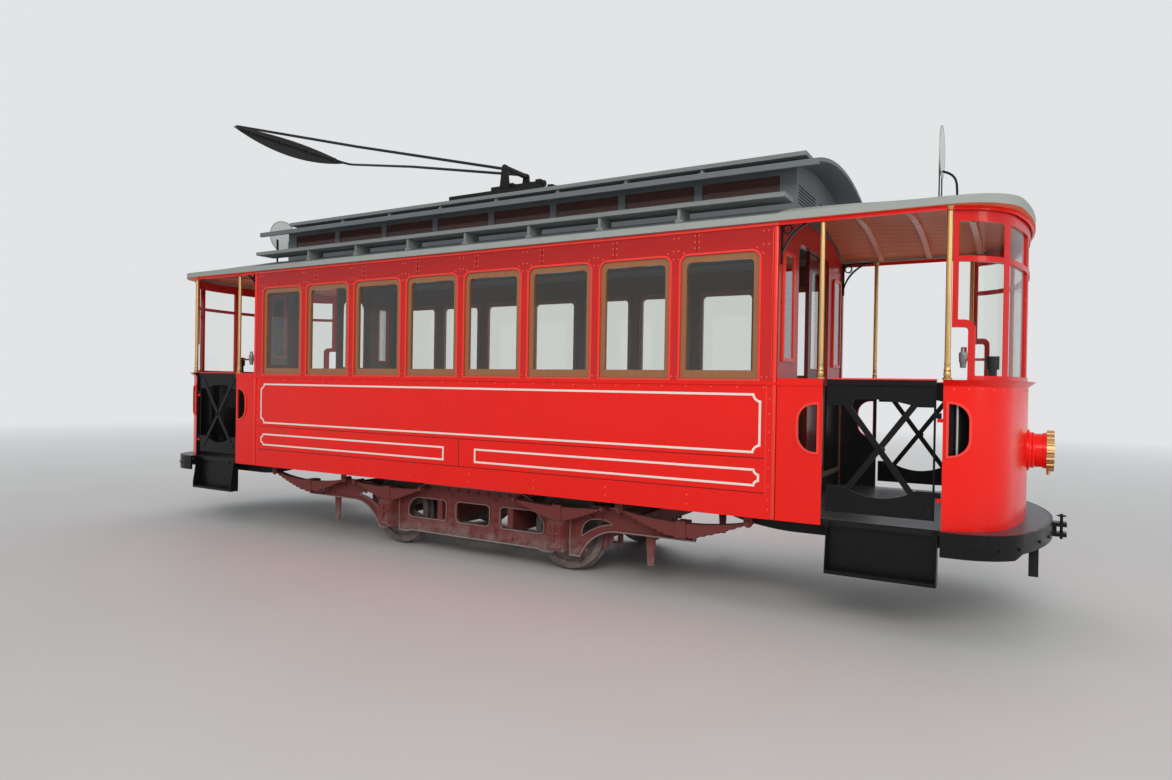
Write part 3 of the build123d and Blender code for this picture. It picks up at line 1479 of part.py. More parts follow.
# Brake gear: a shoe outside each wheel on a hanger, a beam across each pair, and two pull rods
shoe_gap = 6
shoe_thickness = 40
shoe_angle = 20
shoe_in_y = wheel_in + flange_width + 6
shoe_out_y = wheel_out - 8
hanger_x = half_base + tread_radius + shoe_gap + shoe_thickness + 14
hanger_top_z = axle_z + 190
pull_rod_y = 560
pull_rod_z = axle_z - 115
with BuildPart() as brake_gear:
    with BuildSketch(Plane.XZ.offset(shoe_out_y)):
        with Locations((half_base, axle_z)):
            Circle(tread_radius + shoe_gap + shoe_thickness)
            Circle(tread_radius + shoe_gap, mode=Mode.SUBTRACT)
        with BuildLine():
            Polyline(
                (half_base, axle_z),
                (half_base + 2 * tread_radius, axle_z + 2 * tread_radius * sin(shoe_angle * pi / 180)),
                (half_base + 2 * tread_radius, axle_z - 2 * tread_radius * sin(shoe_angle * pi / 180)),
                close=True,
            )
        make_face(mode=Mode.INTERSECT)
    extrude(amount=shoe_in_y - shoe_out_y)
    with BuildSketch(Plane.XZ.offset(shoe_out_y - 14)):
        with Locations((hanger_x, (hanger_top_z + axle_z - 60) / 2)):
            RectangleRounded(44, hanger_top_z - axle_z + 110, 20)
    extrude(amount=-14)
    with BuildSketch(Plane.XZ.offset(frame_back_y)):
        with Locations((hanger_x, hanger_top_z)):
            Circle(18)
    extrude(amount=-frame_back_y)
    with BuildSketch(Plane.XZ.offset(shoe_out_y - 14)):
        with Locations((hanger_x, axle_z)):
            Rectangle(36, 60)
    extrude(amount=-(shoe_out_y - 14))
    with BuildSketch(Plane.XZ.offset(pull_rod_y + 8)):
        with Locations((hanger_x, (axle_z + pull_rod_z) / 2)):
            RectangleRounded(48, axle_z - pull_rod_z + 60, 20)
    extrude(amount=-16)
    with BuildSketch(Plane.YZ):
        with Locations((-pull_rod_y, pull_rod_z)):
            Circle(11)
    extrude(amount=hanger_x)
    mirror(about=Plane.XZ)
    mirror(about=Plane.YZ)
keep(brake_gear, "brake_gear")

# Headlamps: a turned housing on each dash, a lobed brass rim with a knob under it, and a lens
lamp_z = dash_top_z - 455
lamp_radius = 122
lamp_length = 120
lamp_plane = Plane.YZ.offset(dash_front_x)
with BuildPart() as lamp_body:
    with BuildSketch(Plane.XZ):
        with BuildLine():
            Polyline(
                (-4, 0),
                (-4, lamp_radius + 30),
                (8, lamp_radius + 30),
                (14, lamp_radius + 14),
                (26, lamp_radius + 6),
                (34, lamp_radius + 12),
                (42, lamp_radius + 6),
                (46, lamp_radius),
                (lamp_length - 26, lamp_radius),
                (lamp_length - 22, lamp_radius + 8),
                (lamp_length, lamp_radius + 8),
                (lamp_length, 0),
                close=True,
            )
        make_face()
    revolve(axis=Axis.X)
with BuildPart() as lamps:
    with Locations((dash_front_x, 0, lamp_z)):
        add(lamp_body.part)
    add(dash.part, mode=Mode.SUBTRACT)
    mirror(about=Plane.YZ)
keep(lamps, "headlamps")

lobe_count = 16
with BuildPart() as lamp_rims:
    with BuildSketch(lamp_plane.offset(lamp_length)):
        with Locations((0, lamp_z)):
            Circle(lamp_radius + 18)
            with PolarLocations(lamp_radius + 12, lobe_count):
                Circle(14)
            Circle(lamp_radius - 16, mode=Mode.SUBTRACT)
    extrude(amount=48)
    with BuildSketch(Plane.XY.offset(lamp_z - lamp_radius - 52)):
        with Locations((dash_front_x + lamp_length + 14, 0)):
            Circle(12)
    extrude(amount=34)
    mirror(about=Plane.YZ)
keep(lamp_rims, "headlamp_rims")

with BuildPart() as lamp_lenses:
    with BuildSketch(lamp_plane.offset(lamp_length)):
        with Locations((0, lamp_z)):
            Circle(lamp_radius - 16 - fit_gap)
    extrude(amount=34)
    mirror(about=Plane.YZ)
keep(lamp_lenses, "headlamp_lenses")

# Couplers: a jaw on each bumper, bored for a pin
coupler_z = bumper_nose_z + 50
coupler_bore = 17
coupler_reach = 86
jaw_width = 96
with BuildPart() as couplers:
    with BuildSketch(Plane.XZ.offset(jaw_width / 2)):
        with BuildLine():
            Polyline(
                (bumper_front_x, coupler_z - 50),
                (bumper_front_x + coupler_reach, coupler_z - 50),
                (bumper_front_x + coupler_reach, coupler_z - 22),
                (bumper_front_x + 24, coupler_z - 22),
                (bumper_front_x + 24, coupler_z + 22),
                (bumper_front_x + coupler_reach, coupler_z + 22),
                (bumper_front_x + coupler_reach, coupler_z + 50),
                (bumper_front_x, coupler_z + 50),
                close=True,
            )
        make_face()
    extrude(amount=-jaw_width)
    with BuildSketch(Plane.XY.offset(coupler_z - 60)):
        with Locations((bumper_front_x + 54, 0)):
            Circle(coupler_bore)
    extrude(amount=120, mode=Mode.SUBTRACT)
    mirror(about=Plane.YZ)
keep(couplers, "couplers")

# Guard hangers: two straps below each bumper
strap_y = 600
strap_drop = 194
with BuildPart() as hangers:
    with BuildSketch(Plane.XZ.offset(strap_y)):
        with Locations((dash_front_x + 50, bumper_nose_z - strap_drop / 2)):
            Rectangle(58, strap_drop)
    extrude(amount=-12)
    mirror(about=Plane.XZ)
    mirror(about=Plane.YZ)
keep(hangers, "bumper_straps")

# Collector base: two timbers on insulators, a cross beam, bearing cheeks and spring barrels
base_x = -230
base_length = 1140
base_half = 300
base_width = 80
base_foot_z = upper_crown_z + 100
base_top_z = base_foot_z + 46
bow_pivot_z = base_top_z + bow_pivot_height
bow_tip_x = bow_pivot_x - bow_reach
bow_tip_z = bow_pivot_z + bow_rise
cheek_y = 175
cheek_width = 30
barrel_radius = 32
barrel_y = 110
insulator_radius = 30
roof_at_base = upper_arch_z + arc_height(base_half + insulator_radius, upper_half, upper_rise)
beam_top_z = base_top_z + 34
with BuildPart() as collector_base:
    with BuildSketch(Plane.XY.offset(base_foot_z)):
        with Locations((base_x, -base_half), (base_x, base_half)):
            Rectangle(base_length, base_width)
    extrude(amount=base_top_z - base_foot_z)
    with BuildSketch(Plane.XY.offset(roof_at_base - 10)):
        with Locations((base_x, 0)):
            with GridLocations(base_length - 240, 2 * base_half, 3, 2):
                Circle(insulator_radius)
    extrude(amount=base_foot_z - roof_at_base + 10)
    with BuildSketch(Plane.XY.offset(base_top_z)):
        with Locations((bow_pivot_x, 0), (bow_pivot_x + 380, 0)):
            Rectangle(120, 2 * base_half + base_width)
    extrude(amount=beam_top_z - base_top_z)
    with BuildSketch(Plane.XZ.offset(cheek_y + cheek_width)):
        with BuildLine():
            Polyline((bow_pivot_x - 58, beam_top_z), (bow_pivot_x - 32, bow_pivot_z))
            ThreePointArc(
                (bow_pivot_x - 32, bow_pivot_z),
                (bow_pivot_x, bow_pivot_z + 32),
                (bow_pivot_x + 32, bow_pivot_z),
            )
            Polyline(
                (bow_pivot_x + 32, bow_pivot_z),
                (bow_pivot_x + 58, beam_top_z),
                (bow_pivot_x - 58, beam_top_z),
            )
        make_face()
        with Locations((bow_pivot_x, bow_pivot_z)):
            Circle(bow_shaft_radius + fit_gap, mode=Mode.SUBTRACT)
    extrude(amount=-cheek_width)
    with BuildSketch(Plane.YZ.offset(bow_pivot_x + 60)):
        with Locations((-barrel_y, beam_top_z + barrel_radius + 6)):
            Circle(barrel_radius)
    extrude(amount=380)
    with BuildSketch(Plane.XY.offset(beam_top_z)):
        with Locations((bow_pivot_x + 380, -barrel_y), (bow_pivot_x + 40, -barrel_y)):
            Rectangle(60, 2 * barrel_radius + 16)
    extrude(amount=2 * barrel_radius + 14)
    mirror(about=Plane.XZ)
    add(upper_roof.part, mode=Mode.SUBTRACT)
keep(collector_base, "collector_base")

# Bow: a bent tube frame on a cross shaft
arm_angle = atan2(bow_tip_z - bow_pivot_z, bow_pivot_x - bow_tip_x)
bow_plane = Plane(
    origin=(bow_pivot_x, 0, bow_pivot_z),
    x_dir=(-cos(arm_angle), 0, sin(arm_angle)),
    z_dir=(sin(arm_angle), 0, cos(arm_angle)),
)
bow_length = sqrt((bow_tip_z - bow_pivot_z) ** 2 + (bow_pivot_x - bow_tip_x) ** 2)
arm_root_y = 110
bow_overrun = 60
bow_shoulder = 0.55 * bow_length
with BuildPart() as bow:
    with BuildLine(bow_plane) as tube:
        FilletPolyline(
            (0, -arm_root_y),
            (bow_shoulder, -arm_root_y - 330),
            (bow_length + bow_overrun, -bow_half - 40),
            (bow_length + bow_overrun, bow_half + 40),
            (bow_shoulder, arm_root_y + 330),
            (0, arm_root_y),
            radius=90,
        )
    with BuildSketch(Plane(origin=tube.line @ 0, z_dir=tube.line % 0)):
        Circle(bow_tube_radius)
    sweep()
    with BuildSketch(Plane.XZ.offset(cheek_y - 6)):
        with Locations((bow_pivot_x, bow_pivot_z)):
            Circle(28)
    extrude(amount=-2 * (cheek_y - 6))
    with BuildSketch(Plane.XZ.offset(cheek_y + cheek_width)):
        with Locations((bow_pivot_x, bow_pivot_z)):
            Circle(bow_shaft_radius)
    extrude(amount=-2 * (cheek_y + cheek_width))
keep(bow, "collector_bow")

# Contact pan: a lens-shaped plate square to the bow, clipped to its cross tube
pan_rise = 60
pan_drop = 135
pan_thickness = 14
pan_reach = bow_length + bow_overrun + bow_tube_radius + fit_gap
pan_plane = Plane(
    origin=bow_plane.origin + bow_plane.x_dir * pan_reach,
    x_dir=bow_plane.y_dir,
    z_dir=bow_plane.x_dir,
)
with BuildPart() as pan:
    with BuildSketch(pan_plane):
        with BuildLine():
            ThreePointArc((-bow_half, 0), (0, pan_rise), (bow_half, 0))
            ThreePointArc((bow_half, 0), (0, -pan_drop), (-bow_half, 0))
        make_face()
    extrude(amount=pan_thickness)
    with BuildSketch(pan_plane.offset(-2 * bow_tube_radius - 8)):
        with GridLocations(bow_half / 2, 0, 4, 1):
            Rectangle(36, 2 * bow_tube_radius + 12)
    extrude(amount=2 * bow_tube_radius + 8)
    add(bow.part, mode=Mode.SUBTRACT)
keep(pan, "collector_pan")

# Route plate: a blank board on two legs, on the front canopy
plate_x = canopy_front_x - 635
plate_bottom_z = gutter_top_z + 388
plate_top_z = plate_bottom_z + 418
leg_foot_z = gutter_top_z + 60
with BuildPart() as route_plate:
    with BuildSketch(Plane.YZ.offset(plate_x)):
        with Locations((0, (plate_bottom_z + plate_top_z) / 2)):
            RectangleRounded(380, plate_top_z - plate_bottom_z, 20)
    extrude(amount=6)
    with BuildSketch(Plane.YZ.offset(plate_x)):
        with Locations((0, (leg_foot_z + plate_bottom_z + 120) / 2)):
            with GridLocations(180, 0, 2, 1):
                Rectangle(22, plate_bottom_z + 120 - leg_foot_z)
    extrude(amount=-10)
    add(canopy.part, mode=Mode.SUBTRACT)
keep(route_plate, "route_plate")
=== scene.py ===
from math import cos, pi, radians, sin

import bmesh
import bpy
from mathutils import Matrix, Vector


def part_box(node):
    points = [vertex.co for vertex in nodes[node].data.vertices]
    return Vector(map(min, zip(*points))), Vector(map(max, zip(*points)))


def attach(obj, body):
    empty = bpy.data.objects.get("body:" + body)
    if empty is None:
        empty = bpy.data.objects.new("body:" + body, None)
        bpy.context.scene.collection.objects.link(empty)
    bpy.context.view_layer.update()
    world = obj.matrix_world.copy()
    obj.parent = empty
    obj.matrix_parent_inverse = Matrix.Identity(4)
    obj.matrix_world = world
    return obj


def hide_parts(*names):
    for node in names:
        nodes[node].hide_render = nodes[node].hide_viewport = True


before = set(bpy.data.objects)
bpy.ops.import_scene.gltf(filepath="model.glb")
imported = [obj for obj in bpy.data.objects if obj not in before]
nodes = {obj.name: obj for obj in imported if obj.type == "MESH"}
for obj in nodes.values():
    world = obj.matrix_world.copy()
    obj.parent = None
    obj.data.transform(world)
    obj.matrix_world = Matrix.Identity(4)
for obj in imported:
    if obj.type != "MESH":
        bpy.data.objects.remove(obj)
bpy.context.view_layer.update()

# Camera: the photograph was taken standing beside the route-plate end of the car, with a
# wide lens held almost level and turned very slightly. All lengths here are metres.
image_width = 1172
focal_pixels = 758.4
camera_place = (4.50, -6.4614, 1.6387)
camera_yaw = 30.438
camera_pitch = 0.378
camera_roll = 0.936
camera_data = bpy.data.cameras.new("camera")
camera_data.sensor_width = 36
camera_data.lens = focal_pixels / image_width * camera_data.sensor_width
camera_data.clip_end = 400
camera = bpy.data.objects.new("camera", camera_data)
bpy.context.scene.collection.objects.link(camera)
camera.location = camera_place
camera.rotation_mode = "QUATERNION"
turn = Matrix.Rotation(radians(camera_yaw), 3, "Z")
tilt = Matrix.Rotation(radians(90 - camera_pitch), 3, "X")
roll = Matrix.Rotation(radians(camera_roll), 3, "Z")
camera.rotation_quaternion = (turn @ tilt @ roll).to_quaternion()
bpy.context.scene.camera = camera

# Floor, backdrop and light: a pale studio floor that runs to a pale horizon, a broad soft
# lamp high on the near side, a tall narrow one beyond the end, and an even sky.


class Wire:
    """A value on its way to a shader. Sums and products of wires add Math nodes."""

    def __init__(self, finish, socket):
        self.finish = finish
        self.socket = socket

    def _math(self, operation, first, second):
        return self.finish.node("ShaderNodeMath", {"operation": operation}, {0: first, 1: second})

    def __add__(self, other):
        return self._math("ADD", self, other)

    __radd__ = __add__

    def __sub__(self, other):
        return self._math("SUBTRACT", self, other)

    def __rsub__(self, other):
        return self._math("SUBTRACT", other, self)

    def __mul__(self, other):
        return self._math("MULTIPLY", self, other)

    __rmul__ = __mul__

    def __gt__(self, other):
        return self._math("GREATER_THAN", self, other)

    def __lt__(self, other):
        return self._math("LESS_THAN", self, other)


class Finish:
    """One paint, wood, metal or glass: a material whose nodes are added by a single method."""

    def __init__(self, name, colour, roughness, metallic=0.0, coat=0.0, specular=0.5):
        self.material = bpy.data.materials.new(name)
        self.material.use_nodes = True
        self.tree = self.material.node_tree
        self.shader = self.tree.nodes["Principled BSDF"]
        self.shader.inputs["Base Color"].default_value = (*colour, 1)
        self.shader.inputs["Roughness"].default_value = roughness
        self.shader.inputs["Metallic"].default_value = metallic
        self.shader.inputs["Coat Weight"].default_value = coat
        self.shader.inputs["Coat Roughness"].default_value = 0.08
        self.shader.inputs["Specular IOR Level"].default_value = specular
        self.point = self.node("ShaderNodeTexCoord", {}, {}, "Object")

    def node(self, kind, settings, inputs, output=0):
        """Add a node, give it its settings and then its sockets' values or links."""
        made = self.tree.nodes.new(kind)
        for key, value in settings.items():
            setattr(made, key, value)
        for key, value in inputs.items():
            self.join(value, made.inputs[key])
        return Wire(self, made.outputs[output])

    def join(self, value, socket):
        if isinstance(value, Wire):
            self.tree.links.new(value.socket, socket)
        else:
            socket.default_value = value

    def set(self, name, value):
        self.join(value, self.shader.inputs[name])

    def axis(self, letter):
        """One coordinate of a point, with its sign."""
        return self.node("ShaderNodeSeparateXYZ", {}, {0: self.point}, letter)

    def apart(self, letter):
        """How far a point lies from the middle of the car along one axis."""
        return self.node("ShaderNodeMath", {"operation": "ABSOLUTE"}, {0: self.axis(letter)})

    def facing(self, letter):
        """One coordinate of the direction that the surface faces."""
        normal = self.node("ShaderNodeNewGeometry", {}, {}, "Normal")
        return self.node("ShaderNodeSeparateXYZ", {}, {0: normal}, letter)

    def zigzag(self, value, pitch):
        """A value folded up and down between nothing and the pitch."""
        return self.node("ShaderNodeMath", {"operation": "PINGPONG"}, {0: value, 1: pitch})

    def noise(self, size, detail=3.0, stretch=(1, 1, 1), rough=0.5):
        """Soft cloudy spots of about the given size, stretched along an axis by a small scale."""
        scaled = self.node("ShaderNodeMapping", {}, {"Vector": self.point, "Scale": stretch})
        return self.node(
            "ShaderNodeTexNoise",
            {},
            {"Vector": scaled, "Scale": 1 / size, "Detail": detail, "Roughness": rough},
            "Fac",
        )

    def between(self, value, low, high, to_low=0.0, to_high=1.0):
        """Carry the range from low to high over to another one, and hold it at both ends."""
        return self.node(
            "ShaderNodeMapRange",
            {"clamp": True},
            {"Value": value, "From Min": low, "From Max": high, "To Min": to_low, "To Max": to_high},
        )

    def mix(self, share, first, second):
        """The first colour where the share is 0, and the second where it is 1."""
        first = (*first, 1) if isinstance(first, tuple) else first
        second = (*second, 1) if isinstance(second, tuple) else second
        return self.node("ShaderNodeMix", {"data_type": "RGBA"}, {0: share, 6: first, 7: second}, 2)

    def relief(self, height, distance, strength):
        """Raise the surface by a pattern."""
        bump = self.node(
            "ShaderNodeBump", {}, {"Strength": strength, "Distance": distance, "Height": height}
        )
        self.set("Normal", bump)


def take(kind, **sizes):
    """Add one mesh primitive with nothing else selected, and return it."""
    bpy.ops.object.select_all(action="DESELECT")
    getattr(bpy.ops.mesh, f"primitive_{kind}_add")(**sizes)
    return bpy.context.object


floor_size = 240
fade_from = 7.0
fade_to = 26.0
backdrop = (0.76, 0.775, 0.79, 1)
floor = take("plane", size=floor_size, location=(0, 0, 0))
floor.name = "floor"
floor_finish = Finish("floor_paint", (0.62, 0.61, 0.59), 0.55)
floor_spread = floor_finish.noise(1.8, 4)
floor_finish.set("Base Color", floor_finish.mix(floor_spread, (0.60, 0.59, 0.57), (0.66, 0.65, 0.63)))
distance = floor_finish.node(
    "ShaderNodeVectorMath", {"operation": "LENGTH"}, {0: floor_finish.point}, "Value"
)
far_share = floor_finish.between(distance, fade_from, fade_to)
glow = floor_finish.node("ShaderNodeEmission", {}, {"Color": backdrop})
lit = Wire(floor_finish, floor_finish.shader.outputs[0])
faded = floor_finish.node("ShaderNodeMixShader", {}, {0: far_share, 1: lit, 2: glow})
floor_finish.join(faded, floor_finish.tree.nodes["Material Output"].inputs["Surface"])
floor.data.materials.append(floor_finish.material)
world = bpy.data.worlds.new("studio")
world.use_nodes = True
bpy.context.scene.world = world
sky = world.node_tree.nodes["Background"]
sky.inputs["Color"].default_value = (0.93, 0.96, 1.0, 1)
sky.inputs["Strength"].default_value = 0.62
seen = world.node_tree.nodes.new("ShaderNodeBackground")
seen.inputs["Color"].default_value = backdrop
ray = world.node_tree.nodes.new("ShaderNodeLightPath")
choice = world.node_tree.nodes.new("ShaderNodeMixShader")
world.node_tree.links.new(ray.outputs["Is Camera Ray"], choice.inputs[0])
world.node_tree.links.new(sky.outputs[0], choice.inputs[1])
world.node_tree.links.new(seen.outputs[0], choice.inputs[2])
world.node_tree.links.new(choice.outputs[0], world.node_tree.nodes["World Output"].inputs["Surface"])
lamps = [
    # name, place, aim, width, height, watts, colour
    ("key", (6.5, -12.0, 8.5), (0.5, 0, 1.4), 9.0, 5.0, 700.0, (1.0, 0.97, 0.92)),
    ("end", (12.5, -3.3, 3.9), (4.3, -0.8, 1.4), 2.0, 4.2, 120.0, (1.0, 0.97, 0.92)),
    ("back", (-5.0, 11.0, 8.0), (-1.0, 0, 1.5), 9.0, 5.0, 420.0, (0.94, 0.97, 1.0)),
]
for name, place, aim, width, height, watts, colour in lamps:
    lamp = bpy.data.lights.new(name, "AREA")
    lamp.shape = "RECTANGLE"
    lamp.size = width
    lamp.size_y = height
    lamp.energy = watts
    lamp.color = colour
    holder = bpy.data.objects.new(name, lamp)
    bpy.context.scene.collection.objects.link(holder)
    holder.location = place
    holder.rotation_euler = (Vector(place) - Vector(aim)).to_track_quat("Z", "Y").to_euler()
view = bpy.context.scene.view_settings
view.view_transform = "Standard"

# Side walls: sheet on posts, scarlet below the belt and a darker red above it, with brown boards
# inside. Above the windows the red darkens to crimson towards the gutter, a painted shade. The
# coach paint is brushed and varnished by hand, so it lies in very shallow waves and mirrors the
# lamps softly. The gate hinges and the headlamps wear it too.
scarlet = (0.92, 0.012, 0.006)
gutter_shade_crimson = (0.44, 0.016, 0.015)
post_red = (0.60, 0.020, 0.017)
lining_brown = (0.190, 0.095, 0.052)
gutter_shade_from = 2.45
gutter_shade_to = 2.75
belt_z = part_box("window_sashes")[0].z
inner_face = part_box("saloon_floor")[1].y + 0.02


def shade(colour, factor):
    """A colour made darker or lighter."""
    return tuple(min(1.0, part * factor) for part in colour)


def uneven(finish, colour, size=0.55):
    """A colour that drifts a little darker and lighter over the sheet."""
    return finish.mix(finish.noise(size, 3), shade(colour, 0.94), shade(colour, 1.06))


def coach_paint(name, colour):
    """Glossy varnished paint on flat sheet, a little uneven in colour and in its surface."""
    finish = Finish(name, colour, 0.28, coat=0.22, specular=0.16)
    finish.set("Base Color", uneven(finish, colour))
    finish.set("Roughness", finish.between(finish.noise(0.25, 3), 0.3, 0.7, 0.26, 0.32))
    finish.relief(finish.noise(0.45, 2), 0.0006, 0.22)
    return finish


def coat_nodes(finish, *names):
    """Give pieces of the model a finish in place of their plain one."""
    for name in names:
        piece = nodes[name]
        if not piece.material_slots:
            piece.data.materials.append(finish.material)
        for slot in piece.material_slots:
            slot.material = finish.material


body_paint = coach_paint("body_paint", scarlet)
# Up the wall the red darkens to crimson towards the gutter: a painted shade.
gutter_shade_share = body_paint.between(body_paint.axis("Z"), gutter_shade_from, gutter_shade_to)
upper_red_with_painted_shade = body_paint.mix(gutter_shade_share, post_red, gutter_shade_crimson)
upper_pale_with_painted_shade = body_paint.mix(gutter_shade_share, shade(post_red, 1.1), shade(gutter_shade_crimson, 1.1))
upper_tone_with_painted_shade = body_paint.mix(body_paint.noise(0.5, 3), upper_red_with_painted_shade, upper_pale_with_painted_shade)
above_belt = body_paint.axis("Z") > belt_z
outer_tone = body_paint.mix(above_belt, uneven(body_paint, scarlet, 0.5), upper_tone_with_painted_shade)
indoors = body_paint.apart("Y") < inner_face
body_paint.set("Base Color", body_paint.mix(indoors, outer_tone, lining_brown))
coat_nodes(body_paint, "side_walls")
coat_nodes(coach_paint("red_paint", scarlet), "gate_hinges", "headlamps")

# Dashes and corner panels: bent steel sheet, scarlet outside and black on the faces towards the
# platform. A face is an inner one where it looks back to the middle of its platform.
platform_x = 3.3
inner_black = (0.012, 0.012, 0.014)
dash_paint = coach_paint("dash_paint", scarlet)
place_x = dash_paint.axis("X")
end_sign = dash_paint.node("ShaderNodeMath", {"operation": "SIGN"}, {0: place_x})
outward_x = dash_paint.facing("X") * (place_x - end_sign * platform_x)
outward_y = dash_paint.facing("Y") * dash_paint.axis("Y")
inner_side = (outward_x + outward_y) < -0.05
dash_tone = uneven(dash_paint, scarlet)
dash_paint.set("Base Color", dash_paint.mix(inner_side, dash_tone, inner_black))
coat_nodes(dash_paint, "dashes", "corner_panels")

# Windscreens and bulkhead sashes: planed bars in a slightly deeper red than the panels below
# them, under the same varnish.
frame_red = coach_paint("window_frame_red", (0.66, 0.016, 0.012))
coat_nodes(frame_red, "windscreens", "bulkhead_sashes")

# Bulkheads and doors: the end walls of the saloon are red over a black dado on the platform
# side, and brown boards inside. The sliding door leaves behind them are maroon.
bulkhead_red = (0.60, 0.016, 0.013)
dado_black = (0.016, 0.012, 0.012)
maroon = (0.16, 0.010, 0.010)
paint_depth = 0.02
bulkhead_paint = coach_paint("bulkhead_paint", gutter_shade_crimson)
bulkhead_inside = bulkhead_paint.apart("X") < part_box("bulkheads")[1].x - paint_depth
dado = bulkhead_paint.axis("Z") < belt_z - paint_depth
bulkhead_face = bulkhead_paint.mix(dado, bulkhead_red, dado_black)
bulkhead_paint.set("Base Color", bulkhead_paint.mix(bulkhead_inside, bulkhead_face, lining_brown))
coat_nodes(bulkhead_paint, "bulkheads")
door_paint = coach_paint("door_maroon", maroon)
coat_nodes(door_paint, "door_near_front", "door_far_front", "door_near_rear", "door_far_rear")

# Window sashes and benches: brown timber under varnish. The sashes stand in the openings of the
# side walls with their grain upright, and the benches' slats run along the saloon.
sash_wood = (0.36, 0.140, 0.045)


def varnished_wood(name, colour, along):
    """Brown varnished timber. The grain runs along the given axis."""
    finish = Finish(name, colour, 0.35, coat=0.35)
    stretch = tuple(0.06 if axis == along else 1.0 for axis in "XYZ")
    grain = finish.noise(0.016, 6, stretch, 0.6)
    figure = finish.noise(0.09, 3, stretch)
    tone = finish.mix(grain, shade(colour, 0.62), shade(colour, 1.30))
    finish.set("Base Color", finish.mix(figure, tone, shade(colour, 0.85)))
    finish.set("Roughness", finish.between(grain, 0.3, 0.7, 0.30, 0.45))
    finish.relief(grain, 0.0006, 0.5)
    return finish


upright_wood = varnished_wood("upright_wood", sash_wood, "Z")
level_wood = varnished_wood("level_wood", shade(sash_wood, 0.9), "X")
coat_nodes(upright_wood, "window_sashes")
coat_nodes(level_wood, "benches")

# Glass: clear drawn sheet in the sashes, the screens, the bulkheads and the doors. The vents
# under the roof show a dark red-brown painted reflection, and the headlamps a cloudy pale lens.


def glass(name, tint, haze, back=(0.80, 0.84, 0.84), metallic=1.0):
    """Clear sheet: mostly see-through, with a mirror coat that grows at a slant."""
    finish = Finish(name, back, 0.03, metallic=metallic)
    clear = finish.node("ShaderNodeBsdfTransparent", {}, {"Color": (*tint, 1)})
    slant = finish.node("ShaderNodeLayerWeight", {}, {"Blend": 0.5}, "Facing")
    share = slant * slant * slant * 0.5 + haze
    coat = Wire(finish, finish.shader.outputs[0])
    mixed = finish.node("ShaderNodeMixShader", {}, {0: share, 1: clear, 2: coat})
    finish.join(mixed, finish.tree.nodes["Material Output"].inputs["Surface"])
    return finish


clear_glass = glass("clear_glass", (0.95, 0.955, 0.94), 0.045)
coat_nodes(
    clear_glass, "side_panes", "bulkhead_panes",
    "door_pane_near_front", "door_pane_far_front", "door_pane_near_rear", "door_pane_far_rear",
)
screen_glass = glass("screen_glass", (0.96, 0.965, 0.95), 0.0)
coat_nodes(screen_glass, "windscreen_panes")
# The vents' red-brown back colour and haze are a painted reflection.
vent_glass_painted_reflection = glass("vent_glass_painted_reflection", (0.60, 0.56, 0.52), 0.55, (0.16, 0.075, 0.065), 0.0)
coat_nodes(vent_glass_painted_reflection, "vent_panes")
lamp_glass = glass("lamp_glass", (0.85, 0.85, 0.80), 0.55, (0.80, 0.80, 0.74))
coat_nodes(lamp_glass, "headlamp_lenses")

# Roofs: canvas stretched over boards and painted. The decks and the clerestory between them are
# dark grey, and the gutters along the side walls are a paler grey.
roof_grey = (0.150, 0.168, 0.178)
gutter_grey = (0.36, 0.385, 0.36)
gutter_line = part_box("side_walls")[1].z + 0.052


def rain_marks(finish):
    """Faint marks that run down the slope."""
    return finish.noise(0.20, 5, (1, 0.25, 0.25))


def marked(finish, colour, darkest, palest):
    """A colour between a darker and a paler tone, by the rain marks on it."""
    return finish.mix(rain_marks(finish), shade(colour, darkest), shade(colour, palest))


def roof_paint(name, colour):
    """Matt paint over stretched canvas, with a fine weave and rain marks."""
    finish = Finish(name, colour, 0.6)
    finish.set("Base Color", marked(finish, colour, 0.80, 1.15))
    finish.set("Roughness", finish.between(rain_marks(finish), 0.3, 0.7, 0.48, 0.70))
    finish.relief(finish.noise(0.004, 2), 0.0008, 0.6)
    return finish


coat_nodes(roof_paint("deck_paint", roof_grey), "upper_roof", "clerestory_walls")
lower_paint = roof_paint("lower_roof_paint", roof_grey)
lower_pale = marked(lower_paint, gutter_grey, 0.86, 1.10)
lower_dark = marked(lower_paint, roof_grey, 0.80, 1.15)
on_gutter = lower_paint.axis("Z") < gutter_line
lower_paint.set("Base Color", lower_paint.mix(on_gutter, lower_dark, lower_pale))
coat_nodes(lower_paint, "lower_roof")

# Canopies: the same canvas on top, in the gutters' grey, over varnished red-brown boards whose
# colour is lightened by painted light under the canopy. The rim that carries them is scarlet, and
# the ribs under the boards are a pale red, lightened by the same painted light.
soffit_brown_with_painted_light = (0.94, 0.275, 0.135)
rib_red_with_painted_light = (0.90, 0.36, 0.26)
board_width = 0.05
board_gap = 0.004
canopy_paint = roof_paint("canopy_paint", gutter_grey)
canopy_pale = marked(canopy_paint, gutter_grey, 0.86, 1.10)
on_board = canopy_paint.between(canopy_paint.zigzag(canopy_paint.axis("Y"), board_width), 0.0, board_gap)
grain = canopy_paint.noise(0.03, 5, (0.08, 1, 1))
board_tone = canopy_paint.mix(grain, shade(soffit_brown_with_painted_light, 0.75), shade(soffit_brown_with_painted_light, 1.15))
soffit = canopy_paint.mix(on_board, shade(soffit_brown_with_painted_light, 0.3), board_tone)
underneath = canopy_paint.facing("Z") < -0.3
canopy_paint.set("Base Color", canopy_paint.mix(underneath, canopy_pale, soffit))
coat_nodes(canopy_paint, "canopies")
rib_paint = coach_paint("rib_paint", scarlet)
above_wall = rib_paint.axis("Z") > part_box("side_walls")[1].z + 0.003
